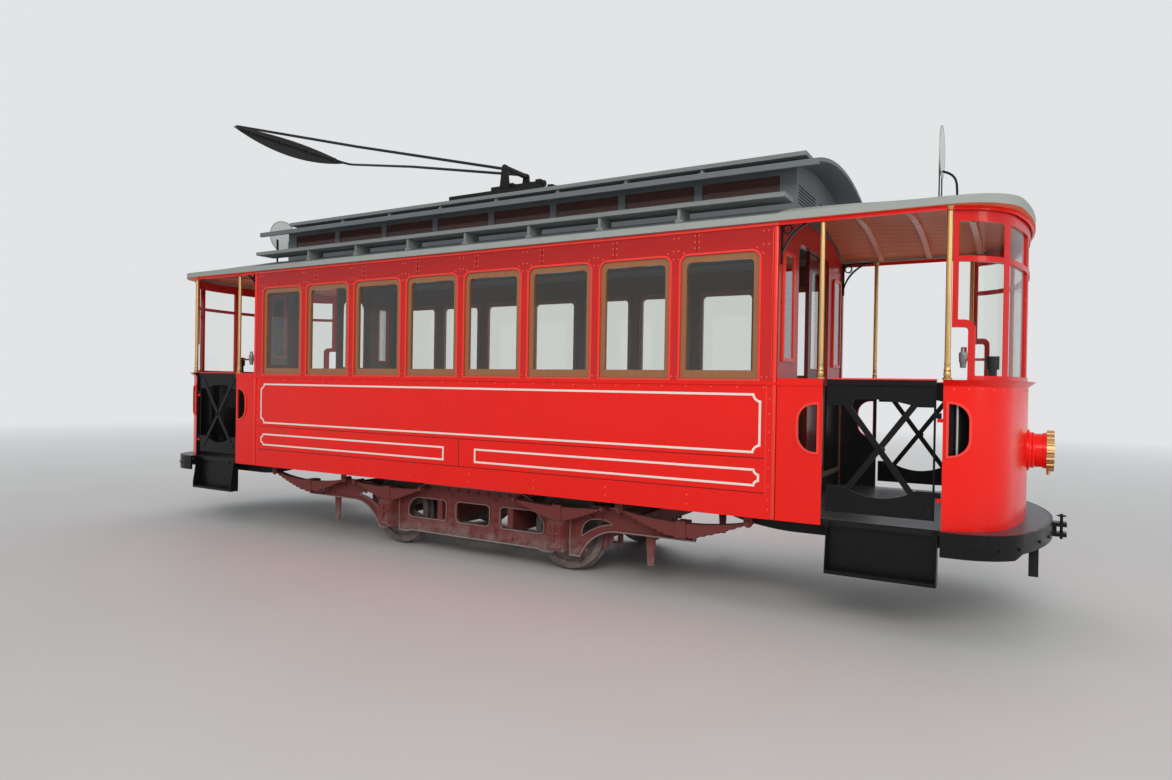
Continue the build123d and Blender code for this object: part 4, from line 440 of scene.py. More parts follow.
rib_paint.set("Base Color", rib_paint.mix(above_wall, scarlet, rib_red_with_painted_light))
coat_nodes(rib_paint, "canopy_frames")

# Roof boards and saloon floor: boards laid along the car with open grain, grey and weathered on
# the roof's brackets, and bare and brown inside.


def weathered_boards(name, colour):
    """Bare or thinly painted boards with open grain along X."""
    finish = Finish(name, colour, 0.75)
    grain = finish.noise(0.014, 6, (0.05, 1, 1), 0.65)
    finish.set("Base Color", finish.mix(grain, shade(colour, 0.65), shade(colour, 1.25)))
    finish.relief(grain, 0.0012, 0.6)
    return finish


coat_nodes(weathered_boards("roof_board_paint", (0.235, 0.255, 0.25)), "roof_boards")
coat_nodes(weathered_boards("floor_boards", (0.20, 0.16, 0.12)), "saloon_floor")

# Platform floors: chequered steel plate, blue-grey, with crossed ribs that wear has rubbed
# bright. Its upright edges are painted black.
plate_steel = Finish("floor_plate", (0.10, 0.105, 0.115), 0.35, metallic=0.6)
rib_pitch = 0.022
rib_up = plate_steel.zigzag(plate_steel.axis("X") + plate_steel.axis("Y"), rib_pitch)
rib_down = plate_steel.zigzag(plate_steel.axis("X") - plate_steel.axis("Y"), rib_pitch)
rib_height = plate_steel.node("ShaderNodeMath", {"operation": "MAXIMUM"}, {0: rib_up, 1: rib_down})
level = plate_steel.facing("Z") > 0.5
rib = plate_steel.between(rib_height, rib_pitch * 0.75, rib_pitch * 0.95) * level
chequer = plate_steel.mix(rib, (0.060, 0.064, 0.072), (0.20, 0.21, 0.225))
plate_steel.set("Base Color", plate_steel.mix(level, (0.012, 0.012, 0.013), chequer))
plate_steel.relief(rib, 0.002, 0.6)
coat_nodes(plate_steel, "platform_floors")

# Ironwork: forged and sheet steel under black enamel, with faint dust and scuffs. What hangs
# under the car is duller, and the brake columns have a red arm.
arm_reach = 4.180
arm_foot = 1.870


def black_enamel(name, colour=(0.006, 0.006, 0.007), dull=0.0):
    """Black paint with faint dust and scuffs, glossy or dull."""
    finish = Finish(name, colour, 0.30 + dull, specular=0.20)
    scuff = finish.noise(0.06, 6, rough=0.7)
    pale_share = finish.between(scuff, 0.58, 0.80)
    finish.set("Base Color", finish.mix(pale_share * 0.25, colour, (0.045, 0.042, 0.04)))
    finish.set("Roughness", finish.between(scuff, 0.3, 0.7, 0.24 + dull, 0.42 + dull))
    finish.relief(finish.noise(0.02, 4), 0.0004, 0.4)
    return finish


enamel = black_enamel("black_enamel")
coat_nodes(
    enamel, "bumpers", "steps", "scroll_brackets", "controllers", "couplers",
    "gate_front_near", "gate_front_far", "gate_rear_near", "gate_rear_far",
)
brake_paint = black_enamel("brake_paint")
on_arm = (brake_paint.apart("X") < arm_reach) * (brake_paint.axis("Z") > arm_foot)
brake_paint.set("Base Color", brake_paint.mix(on_arm, (0.010, 0.010, 0.011), (0.55, 0.016, 0.012)))
coat_nodes(brake_paint, "brake_columns")
dull_black = black_enamel("dull_black", (0.016, 0.015, 0.015), 0.3)
coat_nodes(dull_black, "bumper_straps", "collector_base", "underframe", "platform_bearers")

# Truck: pressed and cast steel in a dark red-brown under road dust, with a painted grey highlight
# on the beads and flanges of its side frames. The motors and the wheels are darker bare iron.
truck_brown = (0.165, 0.026, 0.022)
dust_and_highlight_grey = (0.30, 0.235, 0.22)
bead_highlight_faces = (0.8655, 0.8695)
flange_highlight_faces = (0.8815, 0.8850)


def truck_paint(name, colour, highlight_bands=()):
    """Old brown paint under road dust, thickest on what faces up, with a painted grey highlight
    on the given bands of faces.
    """
    finish = Finish(name, colour, 0.7)
    patch = finish.noise(0.10, 6, rough=0.65)
    film = finish.between(finish.facing("Z"), 0.1, 1.0, 0.04, 0.80)
    low_film = finish.between(finish.axis("Z"), 0.36, 0.20, 0.0, 0.85)
    pale_share = finish.between(patch, 0.35, 0.72) * (film + low_film)
    across = finish.apart("Y")
    # The given bands of faces turn grey like the dust: a painted highlight on the beads and flanges.
    for low, high in highlight_bands:
        pale_share = pale_share + (across > low) * (across < high) * 0.65
    finish.set("Base Color", finish.mix(pale_share, colour, dust_and_highlight_grey))
    finish.set("Roughness", finish.between(patch, 0.3, 0.7, 0.55, 0.85))
    finish.relief(finish.noise(0.012, 5), 0.0012, 0.6)
    return finish


brown = truck_paint("truck_paint", truck_brown)
coat_nodes(brown, "truck_crossbeams", "axle_boxes", "leaf_springs", "guard_plates", "brake_gear")
frame_paint = truck_paint("frame_paint", truck_brown, (bead_highlight_faces, flange_highlight_faces))
coat_nodes(frame_paint, "truck_frames")
coat_nodes(truck_paint("motor_iron", (0.05, 0.045, 0.042)), "motors")
wheel_steel = truck_paint("wheel_steel", (0.10, 0.075, 0.065))
coat_nodes(wheel_steel, "wheelset_front", "wheelset_rear")

# Poles and headlamp rims: drawn and cast brass, kept bright by use, with a few brown stains. The
# poles stand on the corner panels and the dash rails, and reach up to the canopies.
brass = Finish("brass", (0.72, 0.46, 0.20), 0.38, metallic=1.0)
stain = brass.noise(0.12, 4, (1, 1, 0.4), 0.5)
brass.set("Base Color", brass.mix(stain, (0.60, 0.37, 0.15), (0.78, 0.53, 0.25)))
brass.set("Roughness", brass.between(stain, 0.3, 0.7, 0.33, 0.45))
coat_nodes(brass, "platform_poles", "headlamp_rims")

# Collector: a bow of steel tube under thin black paint, which carries a wide contact pan of
# worn dark metal across its top.
coat_nodes(black_enamel("bow_steel", (0.024, 0.024, 0.026), 0.15), "collector_bow")
coat_nodes(black_enamel("pan_metal", (0.035, 0.033, 0.033), 0.2), "collector_pan")

# Lining: cream lines painted by hand on the side panels, a long frame above and two low ones
# under it. The corners towards the ends of the car are cut in by a small hollow quarter round.
wall_face = -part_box("saloon_floor")[1].y - 0.05
line_width = 0.017
line_height = 0.0006
notch = 0.052
small_notch = notch * 0.7
hollow_profile = 0.09
round_profile = 0.5
cream = Finish("lining_cream", (0.92, 0.86, 0.78), 0.35, coat=0.2)
brush = cream.noise(0.03, 4, (0.2, 1, 1))
cream.set("Base Color", cream.mix(brush, (0.86, 0.79, 0.70), (0.94, 0.89, 0.82)))


def edit(piece):
    """Open a piece in edit mode with nothing selected, and return its editable mesh."""
    bpy.ops.object.select_all(action="DESELECT")
    piece.select_set(True)
    bpy.context.view_layer.objects.active = piece
    bpy.ops.object.mode_set(mode="EDIT")
    bpy.ops.mesh.select_all(action="DESELECT")
    return bmesh.from_edit_mesh(piece.data)


def done(piece):
    """Close edit mode and put the piece's place and turn into its mesh."""
    if piece.mode == "EDIT":
        bpy.ops.object.mode_set(mode="OBJECT")
    bpy.ops.object.select_all(action="DESELECT")
    piece.select_set(True)
    bpy.context.view_layer.objects.active = piece
    bpy.ops.object.transform_apply(location=True, rotation=True, scale=True)
    return piece


def copy_at(piece, shift, scale=(1, 1, 1), angle=0.0, axis="Z"):
    """A copy with its own mesh, scaled and turned about the origin and then moved."""
    twin = piece.copy()
    twin.data = piece.data.copy()
    bpy.context.scene.collection.objects.link(twin)
    size = Matrix.Diagonal((*scale, 1))
    twin.data.transform(Matrix.Translation(shift) @ Matrix.Rotation(angle, 4, axis) @ size)
    if scale[0] * scale[1] * scale[2] < 0:
        twin.data.flip_normals()
    return twin


def join(name, pieces):
    """Join finished pieces into one."""
    bpy.ops.object.select_all(action="DESELECT")
    for piece in pieces:
        piece.select_set(True)
    bpy.context.view_layer.objects.active = pieces[0]
    if len(pieces) > 1:
        bpy.ops.object.join()
    pieces[0].name = name
    return pieces[0]


def both_sides(name, piece):
    """Join a near-side piece with its mirror image on the far side."""
    return join(name, [piece, copy_at(piece, (0, 0, 0), (1, -1, 1))])


def fit(piece, finish, body="car"):
    """Give a finished piece its material, and fix it to the body that it moves with."""
    piece.data.materials.clear()
    piece.data.materials.append(finish.material)
    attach(piece, body)
    return piece


def strip_frame(left, right, bottom, top, face, corners, round_by, profile, width, height):
    """A flat strip that runs round an oblong on a face to -Y. Each corner that is named by its
    side and end, such as lb for left bottom, is rounded, or cut in where the profile is hollow."""
    middle = Vector(((left + right) / 2, face, (bottom + top) / 2))
    strip = take("plane", size=1, location=middle, rotation=(pi / 2, 0, 0))
    strip.scale = (right - left, top - bottom, 1)
    done(strip)
    work = edit(strip)
    for corner in work.verts:
        side = "l" if corner.co.x < middle.x else "r"
        end = "b" if corner.co.z < middle.z else "t"
        corner.select = side + end in corners
    work.select_flush_mode()
    bpy.ops.mesh.bevel(offset=round_by, affect="VERTICES", segments=6, profile=profile)
    bpy.ops.mesh.select_all(action="SELECT")
    bpy.ops.mesh.inset(thickness=width, use_boundary=True)
    bpy.ops.mesh.delete(type="FACE")
    bpy.ops.mesh.select_all(action="SELECT")
    bpy.ops.mesh.extrude_region_move(TRANSFORM_OT_translate={"value": (0, -height, 0)})
    bpy.ops.mesh.select_all(action="SELECT")
    bpy.ops.mesh.normals_make_consistent(inside=False)
    return done(strip)


line_frames = [
    # left, right, bottom, top, corners cut in, cut
    (-2.812, 2.812, 1.161, 1.598, ("lb", "lt", "rb", "rt"), notch),
    (-2.806, -0.178, 0.920, 1.050, ("lb", "lt"), small_notch),
    (0.178, 2.806, 0.920, 1.050, ("rb", "rt"), small_notch),
]
lines = [
    strip_frame(*edges, wall_face, corners, cut, hollow_profile, line_width, line_height)
    for *edges, corners, cut in line_frames
]
fit(both_sides("lining", join("lining", lines)), cream)

# Window beads: a half-round steel bead in red, painted lighter as a highlight on its round, bent
# round each sash and pinned to the body sheet, so that the joint between sheet and sash stays dry.
window_pitch = 0.707
window_count = 8
bead_width = 0.016
bead_proud = 0.007
sash_low, sash_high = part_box("window_sashes")
sash_half = 0.308
sash_round = 0.060
# This red is lighter than the panels': a painted highlight on the rounded beads, rims, mouldings and
# caps.
bead_red_with_painted_highlight = coach_paint("bead_red_with_painted_highlight", (0.95, 0.055, 0.038))


def round_over(rim, face, proud, radius, segments=2):
    """Round the edges of a rim that stand clear of its face."""
    work = edit(rim)
    for edge in work.edges:
        edge.select = all(corner.co.y < face - proud / 2 for corner in edge.verts)
    bpy.ops.mesh.bevel(offset=radius, segments=segments)
    done(rim)


def smooth(piece, degrees=35):
    """Shade a piece smooth, apart from its sharp edges."""
    bpy.ops.object.select_all(action="DESELECT")
    piece.select_set(True)
    bpy.context.view_layer.objects.active = piece
    bpy.ops.object.shade_smooth_by_angle(angle=radians(degrees))


first_bead = strip_frame(
    -sash_half - bead_width, sash_half + bead_width, sash_low.z - 0.004, sash_high.z + bead_width,
    wall_face, ("lt", "rt"), sash_round + bead_width, round_profile, bead_width, bead_proud,
)
round_over(first_bead, wall_face, bead_proud, 0.003)
smooth(first_bead)
window_places = [(i - (window_count - 1) / 2) * window_pitch for i in range(window_count)]
beads = [copy_at(first_bead, (x, 0, 0)) for x in window_places]
bpy.data.objects.remove(first_bead)
fit(both_sides("window_beads", join("window_beads", beads)), bead_red_with_painted_highlight)

# Storm frames: a red frame screwed over each bulkhead window on the platform side, so that its
# glass lies almost level with the wall. It is made facing -Y like a bead, and then turned.
storm_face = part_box("bulkheads")[1].x
storm_in = 0.660
storm_out = 0.952
storm_low = 1.835
storm_high = 2.650
storm_round = 0.050
storm_width = 0.026
storm_proud = 0.016


def all_corners(name, piece):
    """Join a piece of the +X end's near corner with its images at the other three corners."""
    twins = [copy_at(piece, (0, 0, 0), flip) for flip in ((1, -1, 1), (-1, 1, 1), (-1, -1, 1))]
    return join(name, [piece, *twins])


storm_frame = strip_frame(
    -storm_out, -storm_in, storm_low, storm_high, -storm_face, ("lt", "rt"),
    storm_round, round_profile, storm_width, storm_proud,
)
round_over(storm_frame, -storm_face, storm_proud, 0.005)
storm_frame.data.transform(Matrix.Rotation(pi / 2, 4, "Z"))
storm_frames = all_corners("storm_frames", storm_frame)
smooth(storm_frames)
fit(storm_frames, bead_red_with_painted_highlight)

# Body mouldings: a cornice under the gutter, a half-round at each corner post and a thin bead
# beside it, of rolled steel pinned on. Fine dark strips along the laps of the panel sheets are a
# painted shadow line.


def moulding(low, high, round_by, segments=2):
    """A straight length of moulding with rounded edges."""
    piece = take("cube", size=1, location=[(a + b) / 2 for a, b in zip(low, high)])
    piece.scale = [b - a for a, b in zip(low, high)]
    done(piece)
    edit(piece)
    bpy.ops.mesh.select_all(action="SELECT")
    bpy.ops.mesh.bevel(offset=round_by, segments=segments)
    return done(piece)


wall_low, wall_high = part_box("side_walls")
body_end = wall_high.x
mouldings = [
    # x from, x to, z from, z to, depth, edge radius
    (-body_end, body_end, wall_high.z - 0.027, wall_high.z - 0.001, 0.012, 0.005),
    (-body_end + 0.004, -body_end + 0.034, wall_low.z + 0.004, wall_high.z - 0.03, 0.011, 0.010),
    (body_end - 0.034, body_end - 0.004, wall_low.z + 0.004, wall_high.z - 0.03, 0.011, 0.010),
    (-2.853, -2.845, 0.870, 1.655, 0.004, 0.0018),
    (2.845, 2.853, 0.870, 1.655, 0.004, 0.0018),
    (-2.885, -2.879, 1.700, 2.790, 0.003, 0.0014),
    (2.879, 2.885, 1.700, 2.790, 0.003, 0.0014),
]
lap_shadow_rows = [
    (-2.845, 2.845, 1.126, 1.132, 0.002, 0.0008),
    (-2.845, 2.845, 0.874, 0.880, 0.002, 0.0008),
    (-0.003, 0.003, 0.880, 1.126, 0.002, 0.0008),
    (-body_end, -body_end + 0.004, wall_low.z + 0.001, wall_high.z - 0.03, 0.002, 0.0008),
    (body_end - 0.004, body_end, wall_low.z + 0.001, wall_high.z - 0.03, 0.002, 0.0008),
]
lap_offset = 0.17
lap_spots = [(i - window_count / 2) * window_pitch + lap_offset for i in range(1, window_count)]
lap_shadow_rows += [(x, x + 0.004, 2.656, 2.802, 0.002, 0.0008) for x in lap_spots]


def wall_strips(name, rows):
    """Mouldings on both side walls, from rows of sizes like the two lists above."""
    strips = [
        moulding((x0, wall_face - depth, z0), (x1, wall_face + 0.001, z1), radius)
        for x0, x1, z0, z1, depth, radius in rows
    ]
    return both_sides(name, join(name, strips))


body_trim = wall_strips("body_mouldings", mouldings)
smooth(body_trim)
fit(body_trim, bead_red_with_painted_highlight)
# The dark strips at the laps are a painted shadow line.
lap_shadow_paint = coach_paint("lap_shadow_paint", (0.16, 0.006, 0.005))
fit(wall_strips("lap_shadow_strips", lap_shadow_rows), lap_shadow_paint)

# Storm glass: one sheet of old, slightly milky glass in each of the storm frames, held in a
# rebate that hides its edge.
rebate = 0.024
storm_pane = moulding(
    (storm_face + 0.003, -storm_out + rebate, storm_low + rebate),
    (storm_face + 0.007, -storm_in - rebate, storm_high - rebate), 0.001, 1,
)
storm_glass = glass("storm_glass", (0.93, 0.94, 0.92), 0.35, (0.62, 0.68, 0.70))
fit(all_corners("storm_panes", storm_pane), storm_glass)

# Rivets: they hold the sheets to the posts, in a row along the belt, in short columns at each
# post, lap and corner, and round the upper corners of the sashes. The back of a head is cut off.
rivet_radius = 0.0066
belt_row = 1.643
post_places = [(i - window_count / 2) * window_pitch for i in range(window_count + 1)]
# The heads are a lighter red than the sheet: a painted glint.
rivet_red_with_painted_glint = coach_paint("rivet_red_with_painted_glint", (0.90, 0.13, 0.10))
rivet = take("uv_sphere", segments=8, ring_count=6, radius=rivet_radius)
rivet.scale = (1, 0.6, 1)
done(rivet)
work = edit(rivet)
for face in work.faces:
    if face.calc_center_median().y > 0.0002:
        face.select = True
work.select_flush_mode()
bpy.ops.mesh.delete(type="FACE")
done(rivet)
row_pitch = window_pitch / 3.5
row_count = 29
post_rows = (2.678, 2.776, 1.716)
lap_rows = (2.690, 2.737, 2.784)
corner_rows = (0.760, 0.830, 0.930, 1.060, 1.190, 1.320, 1.450, 1.560)
corner_places = (-2.872, 2.872)
foot_rows = (0.745, 0.815)
foot_offset = 0.12
sash_gap = 0.018
spots = [((i - (row_count - 1) / 2) * row_pitch, belt_row) for i in range(row_count)]
spots += [(x + dx, z) for x in post_places for dx in (-0.020, 0.020) for z in post_rows]
spots += [(x + dx, z) for x in lap_spots for z in lap_rows for dx in (-0.014, 0.019)]
bend = sash_round + bead_width + sash_gap
for middle_x in window_places:
    for side in (-1, 1):
        for angle in (25, 65):
            x = middle_x + side * (sash_half - sash_round + bend * cos(radians(angle)))
            spots.append((x, sash_high.z - sash_round + bend * sin(radians(angle))))
spots += [(x, z) for z in corner_rows for x in corner_places]
spots += [(x + foot_offset, z) for x in post_places[1:-1] for z in foot_rows]
rivets = [copy_at(rivet, (x, wall_face, z)) for x, z in spots]
rivet_row = both_sides("side_rivets", join("side_rivets", rivets))
smooth(rivet_row, 60)
fit(rivet_row, rivet_red_with_painted_glint)

# Hand-hole rims: a half-round welded round each hole, on the corner panels and on the dashes,
# where it follows the bend of the sheet. One side of each hole is straight.
panel_hole = (3.075, 3.222, 1.190, 1.534)
dash_hole = (4.033, 4.165, 1.213, 1.561)
round_lap = 0.010
straight_lap = 0.006
hole_width = 0.016
hole_proud = 0.010
panel_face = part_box("corner_panels")[0].y + 0.008
bend_x = 3.891
bend_y = 0.555
bend_radius = 0.520


def hole_rim(hole, face, round_side, round_by):
    """A rim on a face to -Y round a hole, given by its left, right, bottom and top."""
    left, right, bottom, top = hole
    left -= round_lap if round_side == "l" else straight_lap
    right += round_lap if round_side == "r" else straight_lap
    rim = strip_frame(
        left, right, bottom - round_lap, top + round_lap, face,
        (round_side + "b", round_side + "t"), round_by, round_profile, hole_width, hole_proud,
    )
    round_over(rim, face, hole_proud, 0.005, 3)
    return rim


def bend_round(piece, clear):
    """Bend a flat piece round the side of a dash, at a distance outside the sheet's face."""
    for corner in piece.data.vertices:
        reach = bend_radius + clear - corner.co.y
        corner.co.y = -bend_y - (reach**2 - (corner.co.x - bend_x) ** 2) ** 0.5


panel_rim = hole_rim(panel_hole, panel_face, "l", 0.128)
dash_rim = hole_rim(dash_hole, 0.0, "r", 0.122)
bend_round(dash_rim, 0.001)
rims = all_corners("hand_hole_rims", join("hand_hole_rims", [panel_rim, dash_rim]))
smooth(rims)
fit(rims, bead_red_with_painted_highlight)

# Hand-hole pockets: a shallow black box of folded sheet behind the hole of each dash, open
# towards the hole and bent to the same curve.
pocket_width = 0.150
pocket_height = 0.380
pocket_depth = 0.050
pocket_sheet = 0.003
pocket = take("plane", size=1, location=(4.104, pocket_depth, 1.387), rotation=(pi / 2, 0, 0))
pocket.scale = (pocket_width, pocket_height, 1)
done(pocket)
edit(pocket)
bpy.ops.mesh.select_all(action="SELECT")
bpy.ops.mesh.extrude_region_move(TRANSFORM_OT_translate={"value": (0, -pocket_depth, 0)})
bpy.ops.mesh.select_all(action="DESELECT")
work = bmesh.from_edit_mesh(pocket.data)
for face in work.faces:
    if face.calc_center_median().y < 0.001:
        face.select = True
work.select_flush_mode()
bpy.ops.mesh.delete(type="FACE")
bpy.ops.mesh.select_all(action="SELECT")
bpy.ops.mesh.subdivide(number_cuts=3)
bpy.ops.mesh.solidify(thickness=pocket_sheet)
bpy.ops.mesh.normals_make_consistent(inside=False)
done(pocket)
bend_round(pocket, -0.010)
fit(all_corners("hand_hole_pockets", pocket), enamel)

# Pole fittings: a stepped foot and a top collar of brass on each platform pole. Each is turned
# from bar, so it is one round profile, and is slipped over the end of its pole.


def turned(steps, vertices=20):
    """A round piece that stands on Z, from pairs of radius and height."""
    radius, height = steps[0]
    piece = take("circle", vertices=vertices, radius=radius, fill_type="NGON", location=(0, 0, height))
    edit(piece)
    bpy.ops.mesh.select_all(action="SELECT")
    for next_radius, next_height in steps[1:]:
        bpy.ops.mesh.extrude_region_move(
            TRANSFORM_OT_translate={"value": (0, 0, next_height - height)}
        )
        share = next_radius / radius
        bpy.ops.transform.resize(value=(share, share, 1), center_override=(0, 0, 0))
        radius = next_radius
        height = next_height
    bpy.ops.mesh.select_all(action="SELECT")
    bpy.ops.mesh.normals_make_consistent(inside=False)
    done(piece)
    smooth(piece)
    return piece


pole_places = (3.225, 4.028)
pole_y = -1.058
pole_foot_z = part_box("corner_panels")[1].z + 0.0005
pole_head_z = wall_high.z - 0.038
foot = turned([
    (0.030, 0.0), (0.030, 0.008), (0.025, 0.013), (0.020, 0.020), (0.0225, 0.030), (0.0225, 0.046),
    (0.019, 0.053), (0.023, 0.060), (0.019, 0.069), (0.018, 0.098), (0.0205, 0.103), (0.0175, 0.110),
])
head = turned([(0.0175, 0.0), (0.021, 0.006), (0.018, 0.014), (0.024, 0.030), (0.027, 0.036)])
poles = []
for x in pole_places:
    poles.append(copy_at(foot, (x, pole_y, pole_foot_z)))
    poles.append(copy_at(head, (x, pole_y, pole_head_z)))
bpy.data.objects.remove(foot)
bpy.data.objects.remove(head)
fit(all_corners("pole_fittings", join("pole_fittings", poles)), brass)

# Hand-hole rods: one upright steel rod in each hole of the dashes, to hold on by. A small socket
# at either end fixes it to the pocket behind.
rod_foot = (4.088, -1.002, 1.197)
rod = turned([
    (0.011, 0.0), (0.011, 0.012), (0.007, 0.014), (0.007, 0.366), (0.011, 0.368), (0.011, 0.380),
], 12)
rod_steel = Finish("rod_steel", (0.50, 0.50, 0.50), 0.35, metallic=0.2)
rod_steel.set("Roughness", rod_steel.between(rod_steel.noise(0.05, 4), 0.3, 0.7, 0.28, 0.45))
rods = all_corners("hand_hole_rods", copy_at(rod, rod_foot))
bpy.data.objects.remove(rod)
fit(rods, rod_steel)

# Brake grips: a turned grip of grey zinc on the spindle at the end of each brake arm. There is
# one to each platform, and the second is the first turned about the middle of the car.
grip_place = (4.020, 0.330, 1.876)
grip = turned([
    (0.016, -0.050), (0.022, -0.046), (0.024, -0.014), (0.030, 0.000), (0.033, 0.050), (0.034, 0.062),
    (0.030, 0.074), (0.020, 0.078), (0.0185, 0.090), (0.018, 0.114), (0.010, 0.118),
])
grip.data.transform(Matrix.Translation(grip_place))
zinc = Finish("zinc", (0.46, 0.46, 0.45), 0.45, metallic=0.4)
zinc.set("Base Color", zinc.mix(zinc.noise(0.02, 4), (0.36, 0.36, 0.35), (0.56, 0.56, 0.55)))
rear_grip = copy_at(grip, (0, 0, 0), angle=pi)
fit(join("brake_grips", [grip, rear_grip]), zinc)

# Gate fittings: a red steel capping on the top rail of each gate, and a coned bolt through
# the crossing of its two bars. Each set rides on its own gate.
cap_inset = 0.030
bolt_drop = 0.010
bolt_seat = 0.009
for end in ("front", "rear"):
    for side in ("near", "far"):
        low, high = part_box(f"gate_{end}_{side}")
        middle = (low + high) / 2
        cap = moulding(
            (low.x + cap_inset, low.y - 0.003, high.z - 0.002),
            (high.x - cap_inset, high.y + 0.003, high.z + 0.009), 0.004,
        )
        cap.name = f"gate_cap_{end}_{side}"
        smooth(cap)
        fit(cap, bead_red_with_painted_highlight, f"gate_{end}_{side}")
        turn = pi / 2 if side == "near" else -pi / 2
        face = low.y + bolt_seat if side == "near" else high.y - bolt_seat
        bolt = turned([(0.024, 0.0), (0.024, 0.004), (0.019, 0.008), (0.008, 0.013), (0.002, 0.014)])
        place = Matrix.Translation((middle.x, face, middle.z - bolt_drop))
        bolt.data.transform(place @ Matrix.Rotation(turn, 4, "X"))
        bolt.name = f"gate_bolt_{end}_{side}"
        fit(bolt, enamel, f"gate_{end}_{side}")

# Truck bolts: forged hexagon heads on washers, which hold the side frames' plates, jaws and arms
# together. The same head is used in smaller sizes on the boxes and the bumpers.
washer = turned([(0.017, 0.0), (0.017, 0.003), (0.0165, 0.0035), (0.0125, 0.0036)], 12)
hexagon = turned([(0.0125, 0.0036), (0.0125, 0.0120), (0.0105, 0.0140)], 6)
bolt = join("bolt", [washer, hexagon])
flange_depth = 0.024
frame_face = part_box("truck_frames")[0].y + flange_depth
arm_spots = [
    # x, z round the axle box and along the arm at the +X end
    (1.180, 0.520), (1.290, 0.520), (1.400, 0.500), (1.560, 0.560), (1.700, 0.540), (1.860, 0.470),
    (0.880, 0.540), (0.760, 0.560), (1.260, 0.290), (1.235, 0.230),
]
truck_spots = [(i * 0.120 - 0.540, 0.610) for i in range(10)]
truck_spots += [(i * 0.180 - 0.630, 0.226) for i in range(8)]
truck_spots += [(x, z) for z in (0.560, 0.470, 0.380, 0.290) for x in (-0.262, 0.262)]
truck_spots += [(end * x, z) for end in (1, -1) for x, z in arm_spots]
truck_bolts = [copy_at(bolt, (x, frame_face, z), angle=pi / 2, axis="X") for x, z in truck_spots]
truck_set = both_sides("truck_bolts", join("truck_bolts", truck_bolts))
fit(truck_set, brown)

# Axle-box fittings: a cross bar and an upright strap of steel over the lid of each box, and a
# bolt at each corner of its front.
box_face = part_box("axle_boxes")[0].y
box_bolt = (0.7, 0.7, 0.7)
box_bars = [
    # half width, bottom, top, depth
    (0.052, 0.352, 0.376, 0.012),
    (0.012, 0.300, 0.440, 0.018),
]
box_bits = []
for x in (-1.0, 1.0):
    for half, bottom, top, depth in box_bars:
        low = (x - half, box_face - depth, bottom)
        box_bits.append(moulding(low, (x + half, box_face + 0.002, top), 0.005))
    for dx, z in ((-0.038, 0.425), (0.038, 0.425), (-0.038, 0.270), (0.038, 0.270)):
        box_bits.append(copy_at(bolt, (x + dx, box_face + 0.001, z), box_bolt, pi / 2, "X"))
box_set = both_sides("axle_box_fittings", join("axle_box_fittings", box_bits))
smooth(box_set)
fit(box_set, brown)

# Bumper and coupler fittings: bolts through the bumper's plate, on the nose and on both bends,
# and the coupling pin with its disc head, which hangs in the jaw.
nose_radius = 2.300
corner_x = 4.1043
corner_y = 0.725
corner_radius = 0.400
bolt_sink = 0.0005
bumper_bolt = (0.8, 0.8, 0.8)
nose_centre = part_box("bumpers")[1].x - nose_radius
pin_place = (4.702, 0.0, 0.655)


def plate_bolt(place, lean):
    """A bolt that points away from the bumper, leaning from +X towards its bend."""
    spot = copy_at(bolt, (0, 0, 0), bumper_bolt, pi / 2, "Y")
    spot.data.transform(Matrix.Translation(place) @ Matrix.Rotation(lean, 4, "Z"))
    return spot


bumper_bits = []
for y in (0.12, -0.12, 0.38, -0.38, 0.62, -0.62):
    nose = nose_centre + (nose_radius**2 - y**2) ** 0.5
    bumper_bits.append(plate_bolt((nose - bolt_sink, y, 0.652), y / nose_radius))
for side in (-1, 1):
    for angle in (30, 53, 75):
        lean = radians(angle) * side
        reach = corner_radius - bolt_sink
        place = (corner_x + reach * cos(lean), side * corner_y + reach * sin(lean), 0.640)
        bumper_bits.append(plate_bolt(place, lean))
pin = turned([
    (0.009, -0.072), (0.010, -0.066), (0.010, 0.090), (0.028, 0.092), (0.031, 0.096),
    (0.028, 0.101), (0.010, 0.103), (0.008, 0.110),
])
bumper_bits.append(copy_at(pin, pin_place))
bpy.data.objects.remove(pin)
front_bits = join("bumper_fittings", bumper_bits)
rear_bits = copy_at(front_bits, (0, 0, 0), (-1, 1, 1))
fit(join("bumper_fittings", [front_bits, rear_bits]), enamel)

# Step bolts: a full-sized hexagon head at either side of each step, where its hanger is bolted
# to the platform's bearer.
step_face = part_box("steps")[0].y + bolt_sink
step_bits = [copy_at(bolt, (x, step_face, 0.700), angle=pi / 2, axis="X") for x in (3.300, 3.970)]
fit(all_corners("side_bolts", join("side_bolts", step_bits)), enamel)

# Dash rail rivets: small round heads in a row under the flared rail of each dash, round the bend
# at its side and on across the nose. They lean with the sheet.
dash_radius = 2.800
rail_flare = 0.050
nose_lean = radians(86)
rail_row_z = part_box("dashes")[1].z - 0.060
dash_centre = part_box("dashes")[1].x - rail_flare - dash_radius
rail_bits = []
for angle in range(20, 71, 10):
    lean = radians(angle)
    place = (bend_x + bend_radius * sin(lean), -bend_y - bend_radius * cos(lean), rail_row_z)
    rail_bits.append(copy_at(rivet, place, angle=lean))
for y in (-0.40, -0.28, -0.16):
    place = (dash_centre + (dash_radius**2 - y**2) ** 0.5, y, rail_row_z)
    rail_bits.append(copy_at(rivet, place, angle=nose_lean))
rail_row = all_corners("dash_rail_rivets", join("dash_rail_rivets", rail_bits))
smooth(rail_row, 60)
# The heads wear the same lighter red, a painted glint.
fit(rail_row, rivet_red_with_painted_glint)
bpy.data.objects.remove(rivet)
bpy.data.objects.remove(bolt)

